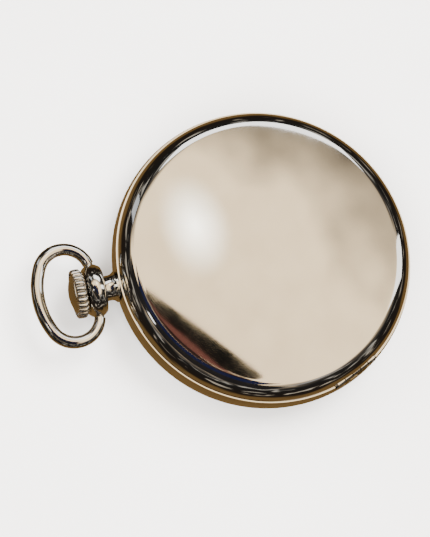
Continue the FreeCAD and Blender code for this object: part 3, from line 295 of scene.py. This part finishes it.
def lathe(name, profile, segments=256, flute=None):
    """A closed profile of (radius, height) points turned about Z.

    flute(angle, radius, height) can move a radius.
    """
    bm = bmesh.new()
    rings = []
    for radius, height in profile:
        if radius < 1e-9:
            rings.append([bm.verts.new((0, 0, height))] * segments)
            continue
        turn = [2 * math.pi * k / segments for k in range(segments)]
        reach = [flute(a, radius, height) if flute else radius for a in turn]
        rings.append([bm.verts.new((r * math.cos(a), r * math.sin(a), height)) for r, a in zip(reach, turn)])
    for low, high in zip(rings, rings[1:] + rings[:1]):
        for k in range(segments):
            n = (k + 1) % segments
            corners = []
            for vertex in (low[k], low[n], high[n], high[k]):
                if vertex not in corners:
                    corners.append(vertex)
            if len(corners) > 2:
                bm.faces.new(corners)
    bmesh.ops.recalc_face_normals(bm, faces=bm.faces)
    mesh = bpy.data.meshes.new(name)
    bm.to_mesh(mesh)
    bm.free()
    return link(mesh, name)


def finish_mesh(obj, angle=35):
    """Apply the modifiers, then shade smooth but for sharp edges."""
    graph = bpy.context.evaluated_depsgraph_get()
    mesh = bpy.data.meshes.new_from_object(obj.evaluated_get(graph))
    obj.modifiers.clear()
    obj.data = mesh
    bm = bmesh.new()
    bm.from_mesh(mesh)
    for edge in bm.edges:
        edge.smooth = len(edge.link_faces) == 2 and edge.calc_face_angle(0.0) < math.radians(angle)
    for face in bm.faces:
        face.smooth = True
    bm.to_mesh(mesh)
    bm.free()


def boolean(obj, tool, kind="DIFFERENCE"):
    """Cut or join with another mesh, and discard the tool."""
    added = obj.modifiers.new(kind, "BOOLEAN")
    added.operation = kind
    added.solver = "EXACT"
    added.object = tool
    graph = bpy.context.evaluated_depsgraph_get()
    mesh = bpy.data.meshes.new_from_object(obj.evaluated_get(graph))
    obj.modifiers.clear()
    obj.data = mesh
    bpy.data.objects.remove(tool)


def block(low, high, turn=0.0):
    """A box between two corners, turned about Z."""
    bm = bmesh.new()
    bmesh.ops.create_cube(bm, size=1.0)
    low, high = Vector(low), Vector(high)
    size = high - low
    place = Matrix.Rotation(turn, 4, "Z") @ Matrix.Translation((low + high) / 2)
    bmesh.ops.transform(bm, matrix=place @ Matrix.Diagonal((*size, 1.0)), verts=bm.verts)
    mesh = bpy.data.meshes.new("block")
    bm.to_mesh(mesh)
    bm.free()
    return link(mesh, "block")


def tube(radius, low, high, hole=0.0):
    """A hinge knuckle or rod along the hinge's axis, between two places along it."""
    bevel = 0.05 * MM
    profile = [(radius * 0.93, low), (radius, low + bevel), (radius, high - bevel), (radius * 0.93, high)]
    inner = [(hole, high), (hole, low)] if hole else [(0.0, high), (0.0, low)]
    made = lathe("tube", profile + inner, 48)
    place = (Matrix.Rotation(HINGE_TURN, 4, "Z") @ Matrix.Translation((HINGE_R, 0, HINGE_Z))
             @ Matrix.Rotation(-math.pi / 2, 4, "X"))
    made.data.transform(place)
    return made


def joined(name, base, *others):
    """One object from several meshes that touch but are not fused."""
    bm = bmesh.new()
    for one in (base, *others):
        bm.from_mesh(one.data)
    mesh = bpy.data.meshes.new(name)
    bm.to_mesh(mesh)
    bm.free()
    for one in (base, *others):
        bpy.data.objects.remove(one)
    return link(mesh, name)


# ---------------------------------------------------------------- case

DOME_R, SHOULDER_R, WALL = 170.0 * MM, 3.4 * MM, 0.5 * MM
SHOULDER_AT = 21.05 * MM
DOME_Z = BACK_TOP - DOME_R
SHOULDER_Z = DOME_Z + math.sqrt((DOME_R - SHOULDER_R) ** 2 - SHOULDER_AT ** 2)
JOIN = math.degrees(math.atan2(SHOULDER_Z - DOME_Z, SHOULDER_AT))


def cover_surface(inset, lip):
    """The back cover's outer or inner surface, from its foot up to the middle."""
    radius = SHOULDER_R - inset
    foot = math.degrees(math.asin((COVER_FOOT + lip - SHOULDER_Z) / radius))
    shoulder = arc((SHOULDER_AT, SHOULDER_Z), radius, foot, JOIN, 40)
    dome = arc((0.0, DOME_Z), DOME_R - inset, JOIN, 90.0, 60)
    return shoulder + dome[1:-1] + [(0.0, DOME_Z + DOME_R - inset)]


def back_cover():
    """The domed cover with its hinge knuckles."""
    inner = cover_surface(WALL, 0.04 * MM)
    outer = cover_surface(0.0, 0.06 * MM)
    foot = [(inner[0][0] + 0.05 * MM, COVER_FOOT), (outer[0][0] - 0.07 * MM, COVER_FOOT)]
    shell = lathe("shell", foot + outer + inner[::-1], 384)
    notch = block((HINGE_R - 1.6 * MM, -NOTCH_HALF, HINGE_Z - 2 * MM), (CASE_R + MM, NOTCH_HALF, NOTCH_TOP),
                  HINGE_TURN)
    boolean(shell, notch)
    pieces = []
    for side in (-1, 1):
        low, high = sorted((side * 0.85 * MM, side * 2.35 * MM))
        pieces.append(tube(KNUCKLE_R, low, high, KNUCKLE_BORE))
        pieces.append(block((HINGE_R - 0.33 * MM, low + 0.03 * MM, HINGE_Z + 0.45 * MM),
                            (HINGE_R - 0.02 * MM, high - 0.03 * MM, NOTCH_TOP + 0.1 * MM), HINGE_TURN))
    made = joined("back_cover_shell", shell, *pieces)
    finish_mesh(made)
    dress(made, "polished_case")
    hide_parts("back_cover")
    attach(made, "back_cover")


def case_band():
    """The band with its rounded bead, the snap lip and the case's own knuckles."""
    half_tall, bulge = 2.3, 0.4
    bulge_r = (half_tall ** 2 + bulge ** 2) / (2 * bulge) * MM
    half = math.degrees(math.asin(half_tall * MM / bulge_r))
    bead = arc((CASE_R - bulge_r, STEM_Z), bulge_r, -half, half, 28)
    bevel = 0.07 * MM
    ledge, ledge_top, ledge_low = 20.9 * MM, 6.95 * MM, 6.45 * MM
    profile = [
        (CASE_BORE, BAND_LOW), (bead[0][0] - 0.06 * MM, BAND_LOW), *bead, (bead[-1][0] - bevel, BAND_HIGH),
        (LIP_OUTER, BAND_HIGH), (LIP_OUTER, LIP_TOP - bevel), (LIP_OUTER - bevel, LIP_TOP),
        (LIP_INNER + bevel, LIP_TOP), (LIP_INNER, LIP_TOP - bevel), (LIP_INNER, BAND_HIGH),
        (CASE_BORE, BAND_HIGH), (CASE_BORE, ledge_top), (ledge, ledge_top), (ledge, ledge_low),
        (CASE_BORE, ledge_low),
    ]
    band = lathe("band", profile, 384)
    trough = tube(0.85 * MM, -NOTCH_HALF, NOTCH_HALF)
    boolean(band, trough)
    gap = block((22.7 * MM, -NOTCH_HALF, BAND_HIGH), (CASE_R, NOTCH_HALF, 9.6 * MM), HINGE_TURN)
    boolean(band, gap)
    for radius, start, length in ((0.8 * MM, 19.9 * MM, 6 * MM), (2.05 * MM, 23.5 * MM, 3 * MM)):
        bore = lathe("bore", [(0.0, 0.0), (radius, 0.0), (radius, length), (0.0, length)], 64)
        bore.data.transform(Matrix.Translation((0, start, STEM_Z)) @ Matrix.Rotation(-math.pi / 2, 4, "X"))
        boolean(band, bore)
    pieces = []
    for side in (-1, 1):
        low, high = sorted((side * 2.45 * MM, side * 3.95 * MM))
        pieces.append(tube(KNUCKLE_R, low, high, KNUCKLE_BORE))
        pieces.append(block((HINGE_R - 0.5 * MM, low, HINGE_Z - 1.3 * MM),
                            (HINGE_R + 0.3 * MM, high, HINGE_Z - 0.5 * MM), HINGE_TURN))
    made = joined("case_band", band, *pieces)
    finish_mesh(made)
    dress(made, "polished_case")
    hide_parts("case_middle")
    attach(made, "case")


def dust_cover():
    """The inner cover, a flat spun disc with a rounded shoulder."""
    under, top, rim, foot, flat = 10.5 * MM, 10.9 * MM, 22.45 * MM, 8.95 * MM, 12 * MM
    bend, inner_bend = 1.6 * MM, 1.15 * MM
    centre = (rim - bend, top - bend)
    outer = [(rim, foot), *arc(centre, bend, 0, 90, 14), (flat, top), (0.0, top)]
    inner = [(0.0, under), (flat, under)]
    inner += [(r, min(z, under)) for r, z in arc(centre, inner_bend, 90, 0, 12)]
    inner.append((rim - 0.45 * MM, foot))
    disc = lathe("disc", outer + inner, 256)
    half = 0.75 * MM
    tongue = block((rim - 0.3 * MM, -half, foot), (HINGE_R - 0.4 * MM, half, foot + 0.4 * MM), HINGE_TURN)
    made = joined("dust_cover_disc", disc, tongue, tube(KNUCKLE_R, -half, half, KNUCKLE_BORE))
    finish_mesh(made)
    dress(made, "case_inner")
    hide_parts("dust_cover")
    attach(made, "dust_cover")


def bezel():
    """The snap-on rim that holds the crystal, rounded outside."""
    low, high, bend = Vector((21.0, 0.75)) * MM, Vector((24.5, 4.28)) * MM, 4.2 * MM
    chord = high - low
    left = Vector((-chord.y, chord.x)).normalized()
    centre = (low + high) / 2 + left * math.sqrt(bend ** 2 - (chord.length / 2) ** 2)
    angles = [math.degrees(math.atan2(*(one - centre).yx)) for one in (low, high)]
    rim = arc(centre, bend, *angles, 40)
    inner = [(21.6, 4.28), (21.6, 3.1), (21.0, 3.1), (21.0, 2.03), (20.43, 2.03), (20.43, 0.9), (20.55, 0.8)]
    made = lathe("bezel_rim", rim + [(r * MM, z * MM) for r, z in inner], 384)
    finish_mesh(made)
    dress(made, "polished_case")
    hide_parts("bezel")
    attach(made, "case")


# ---------------------------------------------------------------- pendant, bow and crown

def along_stem(obj):
    """Stand a lathed piece along the stem, its heights counted from the watch's middle."""
    obj.data.transform(Matrix.Translation((0, 0, STEM_Z)) @ Matrix.Rotation(-math.pi / 2, 4, "X"))


def pendant():
    """The neck and its rounded head."""
    tube_r, hole_r = 0.75 * MM, 0.66 * MM
    head = arc((2.45 * MM, 28.55 * MM), 1.9 * MM, -48, 48, 30)
    low = (head[0][0] - 0.4 * MM, head[0][1] - 0.06 * MM)
    high = (head[-1][0] - 0.4 * MM, head[-1][1] + 0.06 * MM)
    neck = [(0.75, 23.5), (2.05, 23.5), (2.05, 25.02), (2.52, 25.02), (2.55, 25.1), (2.3, 25.35),
            (2.13, 25.6), (2.06, 25.9), (2.05, 26.8), (2.12, 27.0), (2.3, 27.08)]
    profile = [(r * MM, s * MM) for r, s in neck]
    profile += [low, *head, high, (1.3 * MM, 30.0 * MM), (tube_r, 30.0 * MM)]
    made = lathe("pendant_turned", profile, 160)
    along_stem(made)
    for side in (-1, 1):
        hole = lathe("hole", [(0.0, 0.0), (hole_r, 0.0), (hole_r, 2 * MM), (0.0, 2 * MM)], 48)
        hole.data.transform(Matrix.Translation((side * 3.1 * MM, BOW_AT, STEM_Z))
                            @ Matrix.Rotation(side * math.pi / 2, 4, "Y"))
        boolean(made, hole)
    finish_mesh(made)
    dress(made, "polished_case")
    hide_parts("pendant")
    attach(made, "case")


def bow():
    """Round wire bent to an oval, a little thinner at the ends, with a pin in each side of the pendant."""
    side, bend, reach, end = 3.55 * MM, 4.2 * MM, 9.2 * MM, 4.55 * MM
    rise = reach - bend
    top_r = (side ** 2 + rise ** 2 - bend ** 2) / 2 / (rise - bend)
    top_angle = math.degrees(math.atan2(rise - reach + top_r, side))
    start = -90 + math.degrees(math.asin((end - side) / bend))
    half = arc((side, bend), bend, start, top_angle, 40)
    half += arc((0.0, reach - top_r), top_r, top_angle, 90, 30)[1:]
    route = half + [(-x, y) for x, y in half[-2::-1]]
    thick, thin_share, taper, sides = 1.05 * MM, 0.86, 30, 48
    bm = bmesh.new()
    rings = []
    for index, (x, y) in enumerate(route):
        before, after = route[max(index - 1, 0)], route[min(index + 1, len(route) - 1)]
        ahead = Vector((after[0] - before[0], after[1] - before[1], 0)).normalized()
        across = Vector((ahead.y, -ahead.x, 0))
        near = min(1.0, min(index, len(route) - 1 - index) / taper)
        wire = thick * (thin_share + (1.0 - thin_share) * near)
        rings.append([
            bm.verts.new(Vector((x, y, 0)) + across * wire * math.cos(a) + Vector((0, 0, wire * math.sin(a))))
            for a in (2 * math.pi * k / sides for k in range(sides))
        ])
    for low, high in zip(rings, rings[1:]):
        for k in range(sides):
            n = (k + 1) % sides
            bm.faces.new((low[k], low[n], high[n], high[k]))
    for cap in (rings[0], rings[-1]):
        bm.faces.new(cap)
    bmesh.ops.recalc_face_normals(bm, faces=bm.faces)
    mesh = bpy.data.meshes.new("wire")
    bm.to_mesh(mesh)
    bm.free()
    wire = link(mesh, "wire")
    pin_r, pin_long, bevel = 0.6 * MM, 1.4 * MM, 0.1 * MM
    pins = []
    for way in (-1, 1):
        profile = [(0.0, 0.0), (pin_r - bevel, 0.0), (pin_r, bevel), (pin_r, pin_long), (0.0, pin_long)]
        pin = lathe("pin", profile, 32)
        pin.data.transform(Matrix.Translation((way * 3.3 * MM, 0, 0))
                           @ Matrix.Rotation(way * math.pi / 2, 4, "Y"))
        pins.append(pin)
    made = joined("bow_wire", wire, *pins)
    made.data.transform(Matrix.Translation((0, BOW_AT, STEM_Z)))
    finish_mesh(made)
    dress(made, "polished_case")
    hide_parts("bow")
    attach(made, "bow")


FLUTES = 24
LOBES_MIDDLE = 31.15 * MM
LOBES_HALF = 0.95 * MM
LOBES_DEPTH = 0.55 * MM
LOBES_INNER = 3.3 * MM


def flute(angle, radius, height):
    """The crown's lobes: round between narrow grooves, and run out before its smooth cap."""
    if radius < LOBES_INNER:
        return radius
    middle = 1.0 - min(1.0, abs(height - LOBES_MIDDLE) / LOBES_HALF) ** 6
    wave = abs(math.cos(angle * FLUTES / 2)) ** 0.5
    return radius - LOBES_DEPTH * (1.0 - wave) * middle


def crown():
    """The winding crown: a lobed ring by the pendant and a smooth domed cap."""
    low = arc((3.35 * MM, 30.5 * MM), 0.3 * MM, -85, -30, 7)
    body = arc((-2.6 * MM, 31.1 * MM), 6.6 * MM, -4, 6, 22)
    cap = arc((0.0, 26.35 * MM), 6.4 * MM, 58, 89, 16)
    stem_r, foot, stem_end = 0.6 * MM, 30.2 * MM, 32.4 * MM
    profile = [(stem_r, foot), (2.6 * MM, foot), *low, *body, (3.85 * MM, 31.95 * MM), (3.6 * MM, 32.0 * MM),
               (3.52 * MM, 31.85 * MM), *cap, (0.0, 32.75 * MM), (0.0, stem_end), (stem_r, stem_end)]
    made = lathe("crown_lobed", profile, FLUTES * 24, flute)
    along_stem(made)
    finish_mesh(made, 50)
    dress(made, "crown_steel")
    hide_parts("crown")
    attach(made, "crown")


# ---------------------------------------------------------------- dial print

def wedge(bm, centre, low, high, start, end, z):
    """A flat patch of a ring, between two radii and two angles."""
    count = max(2, int(abs(end - start) / 3) + 1)
    turn = [math.radians(start + (end - start) * k / (count - 1)) for k in range(count)]
    inner = [bm.verts.new((centre.x + low * math.cos(a), centre.y + low * math.sin(a), z)) for a in turn]
    outer = [bm.verts.new((centre.x + high * math.cos(a), centre.y + high * math.sin(a), z)) for a in turn]
    for k in range(count - 1):
        bm.faces.new((inner[k], inner[k + 1], outer[k + 1], outer[k]))


def track(name, centre, z, radius, marks, every, long_mark, wide):
    """A minute or seconds track: a fine ring, a mark for each step and a longer one every few."""
    bm = bmesh.new()
    for low in (radius, radius - 0.75 * long_mark):
        for quarter in range(4):
            wedge(bm, centre, low, low + wide * 0.6, 90 * quarter, 90 * quarter + 90, z)
    for mark in range(marks):
        angle = 360 * mark / marks
        strong = mark % every == 0
        half = math.degrees((2.2 if strong else 0.8) * wide / radius / 2)
        low = radius - (long_mark if strong else 0.72 * long_mark)
        wedge(bm, centre, low, radius, angle - half, angle + half, z)
    mesh = bpy.data.meshes.new(name)
    bm.to_mesh(mesh)
    bm.free()
    made = link(mesh, name)
    dress(made, "enamel", INK)
    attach(made, "case")


def numerals(name, texts, centre, z, radius, size):
    """Numerals set round a circle, upright, read from the crystal's side."""
    holders = []
    for index, text in enumerate(texts):
        curve = bpy.data.curves.new("numeral", "FONT")
        curve.body = text
        curve.size = size
        curve.align_x = "CENTER"
        curve.align_y = "CENTER"
        curve.resolution_u = 6
        holder = link(curve, "numeral")
        mesh = bpy.data.meshes.new_from_object(holder.evaluated_get(bpy.context.evaluated_depsgraph_get()))
        bpy.data.objects.remove(holder)
        turn = 2 * math.pi * (index + 1) / len(texts)
        mesh.transform(Matrix.Diagonal((0.82, 1.25, 1.0, 1.0)))
        mesh.transform(Matrix.Rotation(math.pi, 4, "Y"))
        place = (centre.x - radius * math.sin(turn), centre.y + radius * math.cos(turn), z)
        mesh.transform(Matrix.Translation(place))
        holders.append(link(mesh, "numeral"))
    made = joined(name, *holders)
    dress(made, "enamel", INK)
    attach(made, "case")


def dial_print():
    """Tracks and numerals, printed a hair above the dial; the seconds dial stands where 6 would be."""
    middle = Vector((0.0, 0.0, 0.0))
    proud = 0.012 * MM
    track("minute_track", middle, DIAL_Z - proud, 20.2 * MM, 60, 5, 1.1 * MM, 0.16 * MM)
    hours = [str(hour) for hour in range(1, 13)]
    hours[5] = ""
    numerals("hour_numerals", hours, middle, DIAL_Z - proud, 16.4 * MM, 3.6 * MM)
    low = SECONDS_CENTRE.z - proud
    track("seconds_track", SECONDS_CENTRE, low, 4.25 * MM, 60, 5, 0.6 * MM, 0.07 * MM)
    tens = [str(second) for second in range(10, 70, 10)]
    numerals("seconds_numerals", tens, SECONDS_CENTRE, low, 3.0 * MM, 0.95 * MM)


# ---------------------------------------------------------------- studio

def floor():
    """A plain pale floor under the crystal."""
    bm = bmesh.new()
    bmesh.ops.create_grid(bm, x_segments=8, y_segments=8, size=3.0)
    mesh = bpy.data.meshes.new("floor")
    bm.to_mesh(mesh)
    bm.free()
    made = link(mesh, "floor")
    made.location.z = -0.02 * MM
    paint, tree, shader = new_material("pale_floor")
    mottle = noise(tree, coordinates(tree), 30.0)
    tree.links.new(ramp(tree, mottle, [(0.3, (0.90, 0.89, 0.885)), (0.7, (0.93, 0.925, 0.92))]),
                   shader.inputs["Base Color"])
    shader.inputs["Roughness"].default_value = 0.6
    made.data.materials.append(paint)
    made.visible_glossy = False


CARD_REACH = 0.7


def toward(angle, height):
    """A direction from the watch, by its angle round it and its height, in degrees."""
    side, lift = math.radians(angle), math.radians(height)
    return Vector((math.cos(side) * math.cos(lift), math.sin(side) * math.cos(lift), math.sin(lift)))


def card(name, angle, height, size, colour, strength, roll=0.0, soft=False):
    """A glowing card that only reflections see, by its direction, height and size in degrees."""
    bm = bmesh.new()
    bmesh.ops.create_grid(bm, x_segments=1, y_segments=1, size=0.5)
    mesh = bpy.data.meshes.new(name)
    bm.to_mesh(mesh)
    bm.free()
    made = link(mesh, name)
    place = CARD_REACH * toward(angle, height)
    width, tall = (2 * CARD_REACH * math.tan(math.radians(one) / 2) for one in size)
    facing = place.to_track_quat("Z", "Y").to_matrix().to_4x4() @ Matrix.Rotation(math.radians(roll), 4, "Z")
    made.matrix_world = Matrix.Translation(place) @ facing @ Matrix.Diagonal((width, tall, 1.0, 1.0))
    paint = bpy.data.materials.new(name)
    paint.use_nodes = True
    tree = paint.node_tree
    tree.nodes.clear()
    glow = add(tree, "Emission", Color=(*colour, 1.0), Strength=strength)
    clear = add(tree, "BsdfTransparent")
    mix = add(tree, "MixShader")
    out = add(tree, "OutputMaterial")
    mix.inputs["Fac"].default_value = 1.0
    if soft:
        fade = add(tree, "TexGradient", gradient_type="SPHERICAL")
        tree.links.new(coordinates(tree, (2, 2, 2)), fade.inputs["Vector"])
        curve = add(tree, "Math", operation="POWER")
        curve.inputs[1].default_value = 1.5
        tree.links.new(fade.outputs["Fac"], curve.inputs[0])
        tree.links.new(curve.outputs["Value"], mix.inputs["Fac"])
    tree.links.new(clear.outputs["BSDF"], mix.inputs[1])
    tree.links.new(glow.outputs["Emission"], mix.inputs[2])
    tree.links.new(mix.outputs["Shader"], out.inputs["Surface"])
    mesh.materials.append(paint)
    made.visible_camera = False
    made.visible_shadow = False
    made.visible_diffuse = False


def area_light(name, angle, height, size, power):
    """A soft light on the floor and the matt parts, left out of the mirror's reflections."""
    light = bpy.data.lights.new(name, "AREA")
    light.shape = "DISK"
    light.size = size
    light.energy = power
    holder = bpy.data.objects.new(name, light)
    holder.location = CARD_REACH * toward(angle, height)
    holder.rotation_euler = holder.location.to_track_quat("Z", "Y").to_euler()
    holder.visible_glossy = False
    bpy.context.scene.collection.objects.link(holder)


def surroundings():
    """What the polished case reflects: a cream ceiling, a dark horizon with pale shapes and a brown table."""
    world = bpy.data.worlds.new("studio")
    bpy.context.scene.world = world
    world.use_nodes = True
    tree = world.node_tree
    place = add(tree, "TexCoord")
    split = add(tree, "SeparateXYZ")
    tree.links.new(place.outputs["Generated"], split.inputs["Vector"])
    patches = add(tree, "TexNoise", Scale=2.2, Detail=3.0)
    tree.links.new(place.outputs["Generated"], patches.inputs["Vector"])
    wander = spread(tree, patches.outputs["Fac"], -0.13, 0.13, 0.3, 0.7)
    total = add(tree, "Math", operation="ADD")
    tree.links.new(split.outputs["Z"], total.inputs[0])
    tree.links.new(wander, total.inputs[1])
    height = spread(tree, total.outputs["Value"], 0.0, 1.0, -1.0, 1.0)
    colour = ramp(tree, height, [
        (0.0, (0.20, 0.115, 0.04)), (0.30, (0.17, 0.10, 0.035)), (0.38, (0.02, 0.014, 0.010)),
        (0.78, (0.016, 0.015, 0.014)), (0.85, (0.12, 0.10, 0.08)), (0.90, (0.85, 0.66, 0.42)),
        (0.94, (2.1, 1.62, 1.0)), (1.0, (2.1, 1.62, 1.0))])
    shapes = add(tree, "TexNoise", Scale=4.5, Detail=2.0, Distortion=0.6)
    tree.links.new(place.outputs["Generated"], shapes.inputs["Vector"])
    bright = spread(tree, shapes.outputs["Fac"], 0.0, 1.0, 0.56, 0.66)
    low_down = ramp(tree, height, [
        (0.47, (0, 0, 0)), (0.54, (0.55, 0.48, 0.38)), (0.78, (0.50, 0.47, 0.42)), (0.86, (0, 0, 0))])
    pale = add(tree, "VectorMath", operation="SCALE")
    tree.links.new(low_down, pale.inputs["Vector"])
    tree.links.new(bright, pale.inputs["Scale"])
    both = add(tree, "VectorMath", operation="ADD")
    tree.links.new(colour, both.inputs[0])
    tree.links.new(pale.outputs["Vector"], both.inputs[1])
    tree.links.new(both.outputs["Vector"], tree.nodes["Background"].inputs["Color"])
    tree.nodes["Background"].inputs["Strength"].default_value = 1.0


def studio():
    """Soft lights for the floor, and what the mirror-bright case reflects."""
    surroundings()
    area_light("key", -60, 62, 0.5, 15.0)
    area_light("fill", 150, 55, 0.6, 13.0)
    area_light("side", 60, 40, 0.5, 6.0)
    card("highlight", -14, 72.0, (11, 17), (1.0, 0.96, 0.86), 6.0, roll=15, soft=True)
    card("visitor", 125, 91.0, (22, 3.0), (0.01, 0.009, 0.008), 1.0, roll=6)
    card("red_coat", 125, 89.4, (20, 1.0), (0.22, 0.08, 0.06), 1.0, roll=2)
    card("cuff", 125, 88.3, (24, 1.3), (0.012, 0.010, 0.010), 1.0)
    card("bag", 125, 86.9, (26, 1.6), (0.16, 0.07, 0.05), 1.0)
    card("sleeve", 125, 84.7, (34, 2.9), (0.012, 0.010, 0.010), 1.0)
    card("blue_coat", 127, 76, (50, 14), (0.012, 0.016, 0.055), 1.0)
    card("coat", 127, 58, (80, 24), (0.02, 0.018, 0.018), 1.0)
    card("window", -22, 44, (46, 20), (1.0, 1.0, 1.0), 2.6)
    card("far_window", -88, 38, (14, 30), (1.0, 0.99, 0.95), 2.4)
    card("shelf", -150, 48, (34, 12), (0.5, 0.5, 0.5), 1.0, soft=True)
    card("doorway", 40, 30, (9, 24), (0.7, 0.72, 0.76), 1.0)
    card("lamp", 98, 52, (5, 5), (1.0, 1.0, 1.0), 3.0)


# The camera leans over the pendant's side of the watch and is rolled, so that the pendant points left.
CAMERA_SIDE = 132.3
CAMERA_HEIGHT = 72.4
CAMERA_ROLL = 35.4
CAMERA_LENS = 120.0
CAMERA_REACH = 0.2935
AIM_HEIGHT = 9.0 * MM
CASE_ASIDE = (8.24 * MM, -2.25 * MM)


def camera():
    lens = bpy.data.cameras.new("camera")
    lens.lens = CAMERA_LENS
    lens.clip_start = 0.01
    holder = bpy.data.objects.new("camera", lens)
    back = toward(CAMERA_SIDE, CAMERA_HEIGHT)
    level = back.to_track_quat("Z", "Y").to_matrix()
    turn = level @ Matrix.Rotation(math.radians(CAMERA_ROLL), 3, "Z")
    aim = Vector((0, 0, AIM_HEIGHT)) - turn.col[0] * CASE_ASIDE[0] + turn.col[1] * CASE_ASIDE[1]
    holder.matrix_world = Matrix.Translation(aim + back * CAMERA_REACH) @ turn.to_4x4()
    bpy.context.scene.collection.objects.link(holder)
    bpy.context.scene.camera = holder


dress_nodes()
back_cover()
case_band()
dust_cover()
bezel()
pendant()
bow()
crown()
dial_print()
floor()
studio()
camera()
